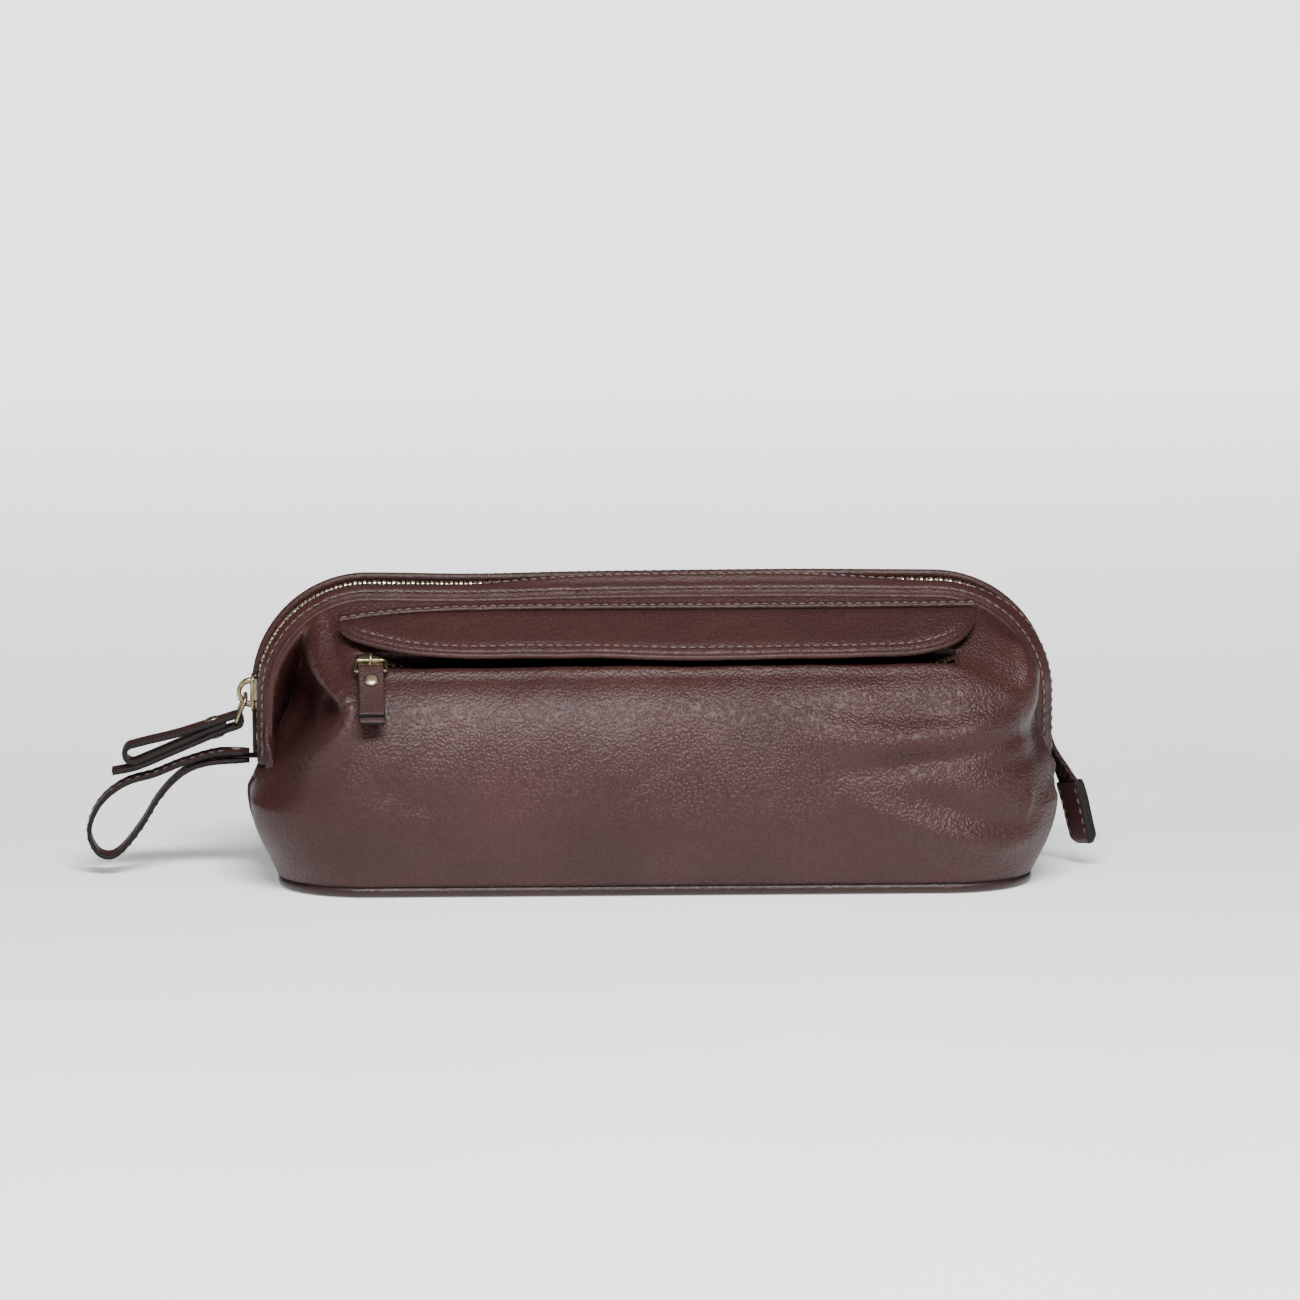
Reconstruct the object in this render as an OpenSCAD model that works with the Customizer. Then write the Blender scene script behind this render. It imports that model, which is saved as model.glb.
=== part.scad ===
// Leather wash bag with a framed zip mouth, a flap pocket and a wrist loop.
// Millimetres. X runs along the bag, -Y is the front, +Z is up.
// The origin is the middle of the base's underside.

/* [Bag body] */
// Length of the base
base_length = 250; // [208:1:300]
// Depth of the base, front to back
base_depth = 112; // [93:0.1:135]
// Plan radius of the base's corners
base_corner_r = 30; // [24:1:36]
// How far each end bulges past the base
end_bulge = 9; // [5:0.5:12]
// How far the front and the back bulge past the base
side_bulge = 6.5; // [3:0.5:9]
// Height at which the body is fullest
bulge_z = 28; // [24:1:32]
// Thickness of the leather wall
leather = 1.8; // [1.2:0.1:2.2]
// Thickness of the lining fabric
lining_cloth = 0.6; // [0.4:0.1:0.8]
// Depth of the tuck at each end of the front and back
pleat_depth = 20; // [10:1:24]

/* [Mouth] */
// Height of the main zip along the top
zip_z = 96.5; // [80:0.5:116]
// Radius of the zip's path at the two upper corners
zip_corner_r = 36; // [30:1:40]
// Height of the two frame pivots
pivot_z = 40; // [38:1:44]
// How far the zip's end stretches stand past the base
zip_overhang = 5.5; // [4:0.5:8]
// Width of the leather band beside the zip
band_width = 11; // [9.5:0.5:14]
// Thickness of the doubled band
band_thickness = 3.2; // [2.8:0.1:4]
// Slope of the band away from the zip, degrees
band_slope = 30; // [24:1:36]
// Slope of the shoulder panels below the bands, degrees
shoulder_slope = 35; // [30:1:38]
// Length of the stiff shoulder down its slope
shoulder_length = 40; // [38:1:42]
// Width of the spring-steel bow
bow_width = 5; // [4:0.5:5.5]
// Thickness of the spring-steel bow
bow_thickness = 1; // [0.8:0.1:1.2]

/* [Main zip] */
// Pitch of the teeth on one tape
tooth_pitch = 3.2; // [3:0.1:4]
// Thickness of a tooth along the zip
tooth_length = 1.25; // [1:0.05:1.35]
// Height of a tooth across the tape's face
tooth_height = 2.4; // [2:0.1:2.6]
// Length of the slider
slider_length = 12; // [10:0.5:13]
// Width of the slider
slider_width = 9; // [8.5:0.1:9.4]
// Width of the leather puller
puller_width = 11; // [8:0.5:14]
// Length of the puller's upper leaf
puller_length = 40; // [34:1:46]

/* [Pocket] */
// Length of the flap
flap_length = 212; // [176:1:240]
// Depth of the flap down the shoulder
flap_depth = 27.5; // [26:0.5:29]
// Thickness of the doubled flap
flap_thickness = 2.4; // [1.8:0.1:3]
// Angle at which the flap stands off the shoulder, degrees
flap_lift = 8; // [7:0.5:12]
// Length of the pocket's slit
pocket_length = 198; // [160:1:200]
// Distance down the shoulder of the pocket zip
pocket_zip_drop = 28.5; // [28:0.5:29]
// Width of the pocket's slit
slit_width = 8; // [7.6:0.1:9]

/* [Loops] */
// Width of the wrist loop
strap_width = 12; // [9:0.5:15]
// Thickness of the wrist loop
strap_thickness = 1.4; // [1.2:0.1:2]
// Thickness of the puller's leather
puller_leather = 1.6; // [1.2:0.1:1.8]

/* [Hidden] */
$fn = 48;

BROWN = [0.30, 0.19, 0.17];
DARK = [0.17, 0.11, 0.10];
CLOTH = [0.24, 0.20, 0.18];
BRASS = [0.62, 0.53, 0.36];
STEEL = [0.60, 0.60, 0.62];

GAP = 0.3;
base_leather = 2;
board_thickness = 1.6;
piping_r = 1.8;
panel_bottom = 2 * piping_r + 0.1;
lower_top_z = 24;
tongue_end = 0.05;
leg_end = 0.14;
end_straight = 0.10;
corner_end = 0.26;
shoulder_start_u = 0.10;
half_path = base_length / 2 + zip_overhang;
corner_x = half_path - zip_corner_r;
corner_z = zip_z - zip_corner_r;
pouch_depth = 3.4; // room below the front leather for the pocket slider
pouch_offset = leather + pouch_depth;
pouch_cloth = 1.2;
lining_offset = pouch_offset + pouch_cloth + 0.8;
columns = 36; // around the front or the back
lining_top_v = 0.86;
pouch_span_u = [0.25, 0.75];
pouch_span_v = [-0.1, 0.72];

function mix(a, b, t) = a + (b - a) * t;
function clamp(x) = max(0, min(1, x));
function smooth(x) = let (t = clamp(x)) t * t * (3 - 2 * t);
function unit(v) = v / norm(v);

// ---- Band section, in (outward, depth) coordinates beside the zip's line ----
band_origin = [2, -(slider_width / 2 + 1.5)];
function band_point(w, t) = [
  band_origin[0] - w * sin(band_slope) + t * cos(band_slope),
  band_origin[1] - w * cos(band_slope) - t * sin(band_slope)
];
panel_edge = band_point(band_width + GAP, 0);
shoulder_top = [panel_edge[1], zip_z + panel_edge[0]];

// ---- Skin of the front half: u runs left to right, v from the base (-1) to the band (1) ----
function plan(a, b, r, u) =
  u > 0.5 ? let (p = plan(a, b, r, 1 - u)) [-p[0], p[1]]
  : u <= end_straight ? [-a, -(b - r) * u / end_straight]
  : u <= corner_end ? let (t = 90 * (u - end_straight) / (corner_end - end_straight))
      [-(a - r) - r * cos(t), -(b - r) - r * sin(t)]
  : [-(a - r) * (0.5 - u) / (0.5 - corner_end), -b];

// Outline at a height between the base and the fullest level
function body_ring(z, u) =
  let (s = sin(90 * (z - panel_bottom) / (bulge_z - panel_bottom)))
  let (a = base_length / 2 + end_bulge * s)
  let (b = base_depth / 2 + side_bulge * s)
  let (p = plan(a, b, base_corner_r + end_bulge * s, u)) [p[0], p[1], z];

// Upper edge of the panel, under the band
function mouth_edge(u) =
  u > 0.5 ? let (p = mouth_edge(1 - u)) [-p[0], p[1], p[2]]
  : u <= tongue_end ? let (t = u / tongue_end)
      [-(half_path + panel_edge[0]), panel_edge[1] * t, mix(pivot_z - 6.5, pivot_z - 4, t)]
  : u <= leg_end ? let (t = (u - tongue_end) / (leg_end - tongue_end))
      [-(half_path + panel_edge[0]), panel_edge[1], mix(pivot_z - 4, corner_z, t)]
  : u <= corner_end ? let (t = 90 * (u - leg_end) / (corner_end - leg_end),
      r = zip_corner_r + panel_edge[0])
      [-corner_x - r * cos(t), panel_edge[1], corner_z + r * sin(t)]
  : [-corner_x * (0.5 - u) / (0.5 - corner_end), panel_edge[1], zip_z + panel_edge[0]];

// Shares of the way in (h) and up (g) between the fullest level and the band, for the front's section
rise = shoulder_top[1] - bulge_z;
run = base_depth / 2 + side_bulge + shoulder_top[0];
shoulder_h = 1 - shoulder_length * cos(shoulder_slope) / run;
shoulder_g = 1 - shoulder_length * sin(shoulder_slope) / rise;
control_g = shoulder_g - shoulder_h * (1 - shoulder_g) / (1 - shoulder_h);
v_shoulder = 0.5;
band_edge_v = 0.98;
function share_h(v) = v < v_shoulder ? shoulder_h * pow(v / v_shoulder, 2)
  : mix(shoulder_h, 1, (v - v_shoulder) / (1 - v_shoulder));
function share_g(v) = v < v_shoulder
  ? let (t = v / v_shoulder) 2 * t * (1 - t) * control_g + t * t * shoulder_g
  : mix(shoulder_g, 1, (v - v_shoulder) / (1 - v_shoulder));
function bell(x) = exp(-x * x);
function tuck(u, v) = v <= 0 ? 0
  : pleat_depth * (bell((u - 0.13) / 0.05) - bell((0.87 - u) / 0.05)) * 4 * v * (1 - v);
// k is 1 with the tucks and 0 without them
function skin(u, v, k = 1) = v <= 0 ? body_ring(mix(panel_bottom, bulge_z, v + 1), u)
  : let (p = body_ring(bulge_z, u), q = mouth_edge(u))
    [mix(p[0], q[0], share_h(v)) + k * tuck(u, v), mix(p[1], q[1], share_h(v)), mix(p[2], q[2],
        share_g(v))];
function outward(u, v, k) =
  let (e = 0.004, ua = max(0, u - e), ub = min(1, u + e), va = max(-1, v - e), vb = min(1, v + e))
  unit(cross(skin(ub, v, k) - skin(ua, v, k), skin(u, vb, k) - skin(u, va, k)));
// Deep layers leave the tucks out of their direction, so that they don't fold over themselves
function inset(u, v, d) = skin(u, v) - d * outward(u, v, d > 2 * leather ? 0 : 1);
function v_at(z) = (z - panel_bottom) / (bulge_z - panel_bottom) - 1;

// Top of the part of the wall that creases when the mouth opens
function crease_top(u) = let (w = min(u, 1 - u))
  mix(1, v_shoulder, smooth((w - tongue_end) / (shoulder_start_u - tongue_end)));

// A closed solid between two depths under the skin. lo and hi are lists of v, one for each column.
module sheet(us, lo, hi, rows, outer, inner) {
  nu = len(us) - 1;
  grid = [for (d = [outer, inner]) for (i = [0:nu]) for (j = [0:rows])
    inset(us[i], mix(lo[i], hi[i], j / rows), d)];
  m = rows + 1;
  layer = (nu + 1) * m;
  function id(i, j, k) = k * layer + i * m + j;
  faces = concat(
    [for (i = [0:nu - 1]) for (j = [0:rows - 1]) each [
      [id(i, j, 0), id(i, j + 1, 0), id(i + 1, j + 1, 0)], [id(i, j, 0), id(i + 1, j + 1, 0), id(i + 1,
          j, 0)],
      [id(i, j, 1), id(i + 1, j + 1, 1), id(i, j + 1, 1)], [id(i, j, 1), id(i + 1, j, 1), id(i + 1,
          j + 1, 1)]]],
    [for (i = [0:nu - 1]) each [
      [id(i, 0, 0), id(i + 1, 0, 0), id(i + 1, 0, 1)], [id(i, 0, 0), id(i + 1, 0, 1), id(i, 0, 1)],
      [id(i, rows, 0), id(i + 1, rows, 1), id(i + 1, rows, 0)], [id(i, rows, 0), id(i, rows, 1),
          id(i + 1, rows, 1)]]],
    [for (j = [0:rows - 1]) each [
      [id(0, j, 0), id(0, j + 1, 1), id(0, j + 1, 0)], [id(0, j, 0), id(0, j, 1), id(0, j + 1, 1)],
      [id(nu, j, 0), id(nu, j + 1, 0), id(nu, j + 1, 1)], [id(nu, j, 0), id(nu, j + 1, 1), id(nu, j, 1)]]]
  );
  polyhedron(grid, faces);
}
seam_u = 0.001;
function steps(a, b, n) = [for (i = [0:n]) mix(a, b, i / n)];
function same(us, v) = [for (u = us) v];

module wall_lower() {
  us = steps(seam_u, 1 - seam_u, columns);
  sheet(us, same(us, -1), same(us, v_at(lower_top_z)), 4, 0, leather);
}
module wall_crease() {
  us = steps(seam_u, 1 - seam_u, 40);
  sheet(us, same(us, v_at(lower_top_z + GAP)), [for (u = us) crease_top(u)], 8, 0, leather);
}
module wall_upper() {
  us = steps(shoulder_start_u, 1 - shoulder_start_u, columns);
  sheet(us, [for (u = us) crease_top(u) + 0.01], same(us, band_edge_v), 4, 0, leather);
}
module wall_lining(end_u, v0, v1) {
  us = steps(end_u, 1 - end_u, columns);
  sheet(us, same(us, v0), same(us, v1), 5, lining_offset, lining_offset + lining_cloth);
}

// ---- Base ----
module base_outline(grow) {
  a = base_length / 2 - base_corner_r;
  b = base_depth / 2 - base_corner_r;
  r = base_corner_r + grow;
  square([2 * a, 2 * (b + r)], center = true);
  square([2 * (a + r), 2 * b], center = true);
  for (x = [-a, a]) for (y = [-b, b]) translate([x, y]) circle(r, $fn = 96);
}
module base_panel() {
  color(BROWN) linear_extrude(base_leather) base_outline(-piping_r * 2 - GAP);
}
module base_board() {
  color(DARK) translate([0, 0, base_leather]) linear_extrude(board_thickness)
      base_outline(-piping_r * 2 - 2);
}
module base_lining() {
  color(CLOTH) translate([0, 0, base_leather + board_thickness + GAP]) linear_extrude(lining_cloth)
    base_outline(-lining_offset - 1.5);
}
module base_piping() {
  a = base_length / 2 - base_corner_r;
  b = base_depth / 2 - base_corner_r;
  r = base_corner_r - piping_r;
  color(DARK) translate([0, 0, piping_r]) {
    for (s = [-1, 1]) {
      translate([-a, s * (b + r), 0]) rotate([0, 90, 0]) cylinder(h = 2 * a, r = piping_r);
      translate([s * (a + r), -b, 0]) rotate([-90, 0, 0]) cylinder(h = 2 * b, r = piping_r);
    }
    for (q = [0:3]) let (sx = (q == 0 || q == 3) ? 1 : -1, sy = q < 2 ? 1 : -1)
      translate([sx * a, sy * b, 0]) rotate([0, 0, 90 * q]) rotate_extrude(angle = 90) translate([r, 0])
          circle(piping_r);
  }
}

// ---- Walls of the body ----
module front_panel_lower() { color(BROWN) wall_lower(); }
module back_panel_lower() { color(BROWN) mirror([0, 1, 0]) wall_lower(); }
module front_panel_crease() { color(BROWN) wall_crease(); }
module back_panel_crease() { color(BROWN) mirror([0, 1, 0]) wall_crease(); }
module lining_tub() {
  color(CLOTH) for (m = [0, 1]) mirror([0, m, 0])
    wall_lining(0.01, v_at(base_leather + board_thickness + 1.6), v_at(lower_top_z));
}
// The upper lining stops short of the tucks
module lining_front() { color(CLOTH) wall_lining(corner_end / 2, v_at(lower_top_z + GAP), lining_top_v); }
module lining_back() { color(CLOTH) mirror([0, 1, 0]) wall_lining(corner_end / 2,
    v_at(lower_top_z + GAP), lining_top_v); }
module pocket_pouch() {
  us = steps(pouch_span_u[0], pouch_span_u[1], 16);
  color(CLOTH) sheet(us, same(us, pouch_span_v[0]), same(us, pouch_span_v[1]), 6, pouch_offset,
      pouch_offset + pouch_cloth);
}

// ---- Corded seam up the middle of each end ----
welt_width = 1.6;
welt_stand = 0.9; // how far it stands off the seam
welt_thickness = 0.8;
welt_span = [v_at(panel_bottom + 1.3), 0.42];
module end_welt() {
  vs = steps(welt_span[0], welt_span[1], 8);
  path = [for (v = vs) let (p = skin(0, v)) [-p[0] + welt_stand, p[2]]];
  outline = concat(path, [for (i = [len(path) - 1:-1:0]) path[i] - [welt_thickness, 0]]);
  color(DARK) rotate([90, 0, 0]) linear_extrude(welt_width, center = true) polygon(outline);
}
module left_end_welt() { mirror([1, 0, 0]) end_welt(); }
module right_end_welt() { end_welt(); }

// ---- Sweep of a section along the zip's line. Section x is outward, y is depth. ----
module along_zip(leg_from) {
  translate([corner_x, 0, zip_z]) rotate([0, -90, 0]) linear_extrude(2 * corner_x) children();
  for (m = [0, 1]) mirror([m, 0, 0]) {
    translate([corner_x, 0, corner_z]) rotate([-90, 0, 0]) rotate([0, 0, -90])
      rotate_extrude(angle = 90, $fn = 96) translate([zip_corner_r, 0]) children();
    translate([half_path, 0, leg_from]) linear_extrude(corner_z - leg_from) children();
  }
}

// ---- Front and back halves of the framed mouth ----
bow_w0 = (band_width - bow_width) / 2;
band_bottom = pivot_z + 5;
eye_r = 2.6;
pin_r = 1.2;
pin_clearance = 0.05;
plate_thickness = 1.1;
arm_h = 3.6;
plate_outer = [-0.3, -1.7]; // outward position of the front and of the back eye plate
bow_mid = band_point(band_width / 2, 0);

module band_section() {
  difference() {
    polygon([band_point(0, -band_thickness / 2), band_point(0, band_thickness / 2),
      band_point(band_width, band_thickness / 2), band_point(band_width, -band_thickness / 2)]);
    polygon([band_point(bow_w0 - GAP, -bow_thickness / 2 - GAP), band_point(bow_w0 - GAP,
        bow_thickness / 2 + GAP),
      band_point(bow_w0 + bow_width + GAP, bow_thickness / 2 + GAP),
      band_point(bow_w0 + bow_width + GAP, -bow_thickness / 2 - GAP)]);
  }
}
module bow_section() {
  polygon([band_point(bow_w0, -bow_thickness / 2), band_point(bow_w0, bow_thickness / 2),
    band_point(bow_w0 + bow_width, bow_thickness / 2), band_point(bow_w0 + bow_width, -bow_thickness / 2)]);
}
module tape_section() {
  near = -band_thickness / 2 - 0.2;
  far = near - 2 * tape_half;
  fold = band_origin[1] + 1.6;
  polygon([[tape_half, -tape_edge], [tape_half, fold], band_point(0.4, near),
      band_point(bow_w0 + bow_width, near),
    band_point(bow_w0 + bow_width, far), band_point(0.4, far), [-tape_half, fold], [-tape_half,
        -tape_edge]]);
}
// Flat end of a bow, seen along X: an eye on the pivot, an arm and a riser
module eye_outline() {
  difference() {
    union() {
      translate([0, pivot_z]) circle(eye_r);
      translate([bow_mid[1] - bow_width / 2, pivot_z - arm_h / 2]) square([bow_width / 2 - bow_mid[1],
          arm_h]);
      translate([bow_mid[1] - bow_width / 2, pivot_z - arm_h / 2])
        square([bow_width, band_bottom - GAP - pivot_z + arm_h / 2]);
    }
    translate([0, pivot_z]) circle(pin_r + pin_clearance);
  }
}
bow_tail = 2.5; // how far the bow's strip runs down over its riser
module bow(plate) {
  along_zip(band_bottom - bow_tail) bow_section();
  for (m = [0, 1]) mirror([m, 0, 0]) translate([half_path + plate - plate_thickness, 0, 0])
    rotate([90, 0, 90]) linear_extrude(plate_thickness) eye_outline();
}
module front_bow() { color(STEEL) bow(plate_outer[0]); }
module back_bow() {
  color(STEEL) mirror([0, 1, 0]) bow(plate_outer[1]);
}
// Sewn hem along the straight top, from the band's edge to the panel's upper edge
seam_clearance = 0.02;
hem_inset = [0.3, 1.5]; // below the leather's outer face
hem_end_margin = 10;
module band_hem() {
  down = [-sin(shoulder_slope), -cos(shoulder_slope)];
  off = [cos(shoulder_slope), -sin(shoulder_slope)];
  edge = panel_edge + ((1 - band_edge_v) / (1 - v_shoulder) * shoulder_length - seam_clearance) * down;
  length = 2 * (corner_x - hem_end_margin);
  translate([length / 2, 0, zip_z]) rotate([0, -90, 0]) linear_extrude(length)
    polygon([band_point(band_width, 0.5 - hem_inset[0]), edge - hem_inset[0] * off,
      edge - hem_inset[1] * off, band_point(band_width, -hem_inset[1])]);
}
module band() {
  along_zip(band_bottom) band_section();
  band_hem();
}
module front_band() { color(BROWN) band(); }
module back_band() { color(BROWN) mirror([0, 1, 0]) band(); }
module front_zip_tape() { color(DARK) along_zip(band_bottom) tape_section(); }
module back_zip_tape() { color(DARK) mirror([0, 1, 0]) along_zip(band_bottom) tape_section(); }

frame_rivet_head_r = 2.4;
frame_rivet_head = 0.8;
module frame_rivet() {
  inner = plate_outer[1] - plate_thickness - GAP;
  outer = plate_outer[0] + GAP;
  color(BRASS) translate([half_path, 0, pivot_z]) rotate([0, 90, 0]) {
    translate([0, 0, inner]) cylinder(h = outer - inner, r = pin_r);
    translate([0, 0, inner - frame_rivet_head]) cylinder(h = frame_rivet_head, r = frame_rivet_head_r);
    translate([0, 0, outer]) cylinder(h = frame_rivet_head, r = frame_rivet_head_r);
  }
}
module left_frame_rivet() { mirror([1, 0, 0]) frame_rivet(); }
module right_frame_rivet() { frame_rivet(); }

// ---- Main zip: teeth, stops ----
leg_length = corner_z - band_bottom;
arc_length = zip_corner_r * PI / 2;
zip_length = 2 * (leg_length + arc_length + corner_x);
tooth_reach = 0.7;
tooth_root = 2.2;
tape_edge = 1.6;
tape_half = 0.3;
post_half = 0.6;
post_length = 2.2;
// Places children at a distance s along the zip from its left end: x outward, y depth, z along the zip
module at_zip(s) {
  if (s < leg_length)
    translate([-half_path, 0, band_bottom + s]) mirror([1, 0, 0]) children();
  else if (s < leg_length + arc_length)
    translate([-corner_x, 0, corner_z]) rotate([0, (s - leg_length) / zip_corner_r * 180 / PI, 0])
      translate([-zip_corner_r, 0, 0]) mirror([1, 0, 0]) children();
  else if (s < zip_length / 2)
    translate([-corner_x + s - leg_length - arc_length, 0, zip_z]) rotate([0, 90, 0]) mirror([1, 0, 0])
        children();
  else mirror([1, 0, 0]) at_zip(zip_length - s) mirror([0, 0, 1]) children();
}
// The rows stand apart below the slider, where the zip is undone
undone_gap = 1.4;
undone_run = 2.5;
function spread(s) = undone_gap * smooth((leg_length - s) / undone_run);
// Cuts the slit that the tape's edge sits in
module clamp_slit(height, length) {
  difference() {
    children();
    translate([-tape_half - 0.06, -height, -length]) cube([2 * tape_half + 0.12,
        height - tape_edge + 0.06, 2 * length]);
  }
}
module tooth(shift) {
  clamp_slit(8, tooth_length) translate([-tooth_height / 2, -tooth_root - shift, -tooth_length / 2])
    cube([tooth_height, tooth_root + tooth_reach, tooth_length]);
}
teeth_margin = 2.2;
module teeth(first) {
  for (s = [first + teeth_margin:tooth_pitch:zip_length - teeth_margin]) at_zip(s) tooth(spread(s));
}
module front_zip_teeth() { color(BRASS) teeth(0); }
module back_zip_teeth() { color(BRASS) mirror([0, 1, 0]) teeth(tooth_pitch / 2); }
stop_size = [2.8, 2.4, 1.2];
stop_lift = 0.7;
module stops() {
  for (m = [0, 1]) mirror([m, 0, 0]) translate([half_path, 0, band_bottom + stop_lift])
    clamp_slit(8, 2) translate([-stop_size[0] / 2, -stop_size[1] - 1, -stop_size[2] / 2]) cube(stop_size);
}
module front_zip_stops() { color(BRASS) stops(); }
module back_zip_stops() { color(BRASS) mirror([0, 1, 0]) stops(); }

// ---- Shoulder panels and the pocket on the front one ----
module on_shoulder() {
  translate([0, shoulder_top[0], shoulder_top[1]]) rotate([shoulder_slope, 0, 0]) children();
}
pocket_tape_width = 6;
pocket_tape_edge = 0.9;
pocket_z = -(leather + 0.85);
module front_panel_upper() {
  color(BROWN) difference() {
    wall_upper();
    on_shoulder() translate([-pocket_length / 2, -pocket_zip_drop - slit_width / 2, -6])
        cube([pocket_length, slit_width, 12]);
  }
}
module back_panel_upper() { color(BROWN) mirror([0, 1, 0]) wall_upper(); }
pocket_tape_thickness = 0.5;
pocket_seam_width = 1.6;
pocket_seam_length = 0.7 * pocket_length;
// A tape with the seam that holds it under the leather
module pocket_tape(side) {
  seam_top = -leather - seam_clearance;
  seam_drop = pocket_zip_drop - side * (pocket_tape_edge + pocket_tape_width - pocket_seam_width);
  color(DARK) on_shoulder() {
    translate([0, -pocket_zip_drop + side * (pocket_tape_edge + pocket_tape_width / 2), pocket_z])
      cube([pocket_length + 1, pocket_tape_width, pocket_tape_thickness], center = true);
    translate([-pocket_seam_length / 2, -seam_drop - pocket_seam_width / 2, pocket_z])
      cube([pocket_seam_length, pocket_seam_width, seam_top - pocket_z]);
  }
}
module pocket_tape_upper() { pocket_tape(1); }
module pocket_tape_lower() { pocket_tape(-1); }
pocket_pitch = 2.6;
pocket_tooth = 1;
pocket_slider_length = 8.5;
pocket_park = -pocket_length / 2 + 0.25 + pocket_slider_length / 2; // the slider's place along X
pocket_slider_width = 6.4;
module pocket_teeth() {
  first = pocket_park - pocket_slider_length / 2 + 4;
  n = floor((pocket_length / 2 - 1.6 - first) / pocket_pitch - 0.5);
  color(BRASS) on_shoulder() translate([0, -pocket_zip_drop, pocket_z]) for (i = [0:n]) for (s = [-1, 1])
    translate([first + (i + (s > 0 ? 0.5 : 0)) * pocket_pitch, 0, 0]) difference() {
      translate([0, s * 0.65, 0]) cube([pocket_tooth, 2, 1.8], center = true);
      translate([0, s * (pocket_tape_edge + 2 - 0.05), 0]) cube([2, 4, 0.6], center = true);
    }
}
module pocket_zip_stops() {
  color(BRASS) on_shoulder() for (s = [-1, 1])
    translate([s * (pocket_length / 2 - 0.4), -pocket_zip_drop, pocket_z]) difference() {
      cube([0.65, 3.6, 1.8], center = true);
      for (k = [-1, 1]) translate([0, k * (pocket_tape_edge + 2 - 0.05), 0]) cube([2, 4, 0.6],
          center = true);
    }
}

// ---- Flap over the pocket ----
flap_seam_drop = 7;
flap_hinge_lift = GAP + flap_thickness / 2;
flap_corner = [40, 22];
module flap_frame() {
  on_shoulder() translate([0, -flap_seam_drop, flap_hinge_lift]) rotate([-flap_lift, 0, 0]) children();
}
// Outline of the flap, its seam along x and its free edge at -depth, with long elliptical corners
function flap_outline(half, depth, rx, ry) = concat([[half, 0], [-half, 0]],
  [for (t = [0:9:90]) [-half + rx * (1 - cos(t)), -(depth - ry) - ry * sin(t)]],
  [for (t = [90:-9:0]) [half - rx * (1 - cos(t)), -(depth - ry) - ry * sin(t)]]);
module pocket_flap() {
  color(BROWN) flap_frame() {
    translate([0, 0, -flap_thickness / 2]) linear_extrude(flap_thickness)
      polygon(flap_outline(flap_length / 2, flap_depth - 1.2, flap_corner[0], flap_corner[1]));
    translate([-flap_length / 2, 0, 0]) rotate([0, 90, 0]) cylinder(h = flap_length,
        r = flap_thickness / 2);
  }
}
module flap_piping() {
  color(DARK) flap_frame() translate([0, 0, -flap_thickness / 2]) linear_extrude(flap_thickness)
      difference() {
    polygon(flap_outline(flap_length / 2 + 0.9, flap_depth, flap_corner[0], flap_corner[1]));
    polygon(flap_outline(flap_length / 2 + 0.1, flap_depth - 1.1, flap_corner[0], flap_corner[1]));
    translate([-flap_length, -2, 0]) square([2 * flap_length, 10]);
  }
}

// ---- Sliders. Local x is outward from the zip's face, y across it, z along it. ----
flange = 0.8; // width of a slider's turned-in side
module slider(length, width, plate, room, slot, post_z) {
  for (s = [-1, 1]) {
    translate([s * (room + plate / 2) - plate / 2, -width / 2, -length / 2]) cube([plate, width, length]);
    for (k = [-1, 1]) translate([s > 0 ? slot : -room - 0.01, k > 0 ? width / 2 - flange : -width / 2,
        -length / 2])
      cube([room - slot + 0.01, flange, length]);
  }
  translate([-room - 0.01, -post_half, post_z - post_length / 2]) cube([2 * room + 0.02, 2 * post_half,
      post_length]);
}
// Arch over a slider's outer plate, with its ends on the plate
module bridge(foot, r, wire) {
  translate([foot, 0, 0]) rotate([90, 0, 0]) rotate([0, 0, -90]) rotate_extrude(angle = 180)
      translate([r, 0]) circle(wire, $fn = 24);
}
// A closed rectangle of round wire in the XY plane, from x = 0 to x = length
module wire_loop(length, width, wire, bend) {
  for (s = [-1, 1]) translate([bend, s * width / 2, 0]) rotate([0, 90, 0])
      cylinder(h = length - 2 * bend, r = wire, $fn = 24);
  for (x = [0, length]) translate([x, -(width / 2 - bend), 0]) rotate([-90, 0, 0])
      cylinder(h = width - 2 * bend, r = wire, $fn = 24);
  for (q = [0:3]) let (x = (q == 0 || q == 3) ? length - bend : bend,
      y = (q < 2 ? 1 : -1) * (width / 2 - bend))
    translate([x, y, 0]) rotate([0, 0, 90 * q]) rotate_extrude(angle = 90) translate([bend, 0])
        circle(wire, $fn = 24);
}
// Outline of a strap of even thickness along a list of points
function strap_outline(path, t) =
  let (n = len(path) - 1)
  let (normals = [for (i = [0:n]) let (d = unit(path[min(n, i + 1)] - path[max(0, i - 1)])) [-d[1], d[0]]])
  concat([for (i = [0:n]) path[i] + normals[i] * t / 2], [for (i = [n:-1:0]) path[i] - normals[i] * t / 2]);
function arc(c, r, a, b, n) = [for (i = [0:n]) let (t = mix(a, b, i / n)) c + r * [cos(t), sin(t)]];
// A smooth curve through points that are chosen by hand
function spline(p, k) = let (n = len(p) - 1) concat([for (i = [0:n - 1]) for (j = [0:k - 1])
  let (a = p[max(0, i - 1)], b = p[i], c = p[i + 1], d = p[min(n, i + 2)], t = j / k)
  0.5 * (2 * b + (c - a) * t + (2 * a - 5 * b + 4 * c - d) * t * t
    + (3 * b - a - 3 * c + d) * t * t * t)], [p[n]]);

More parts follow.
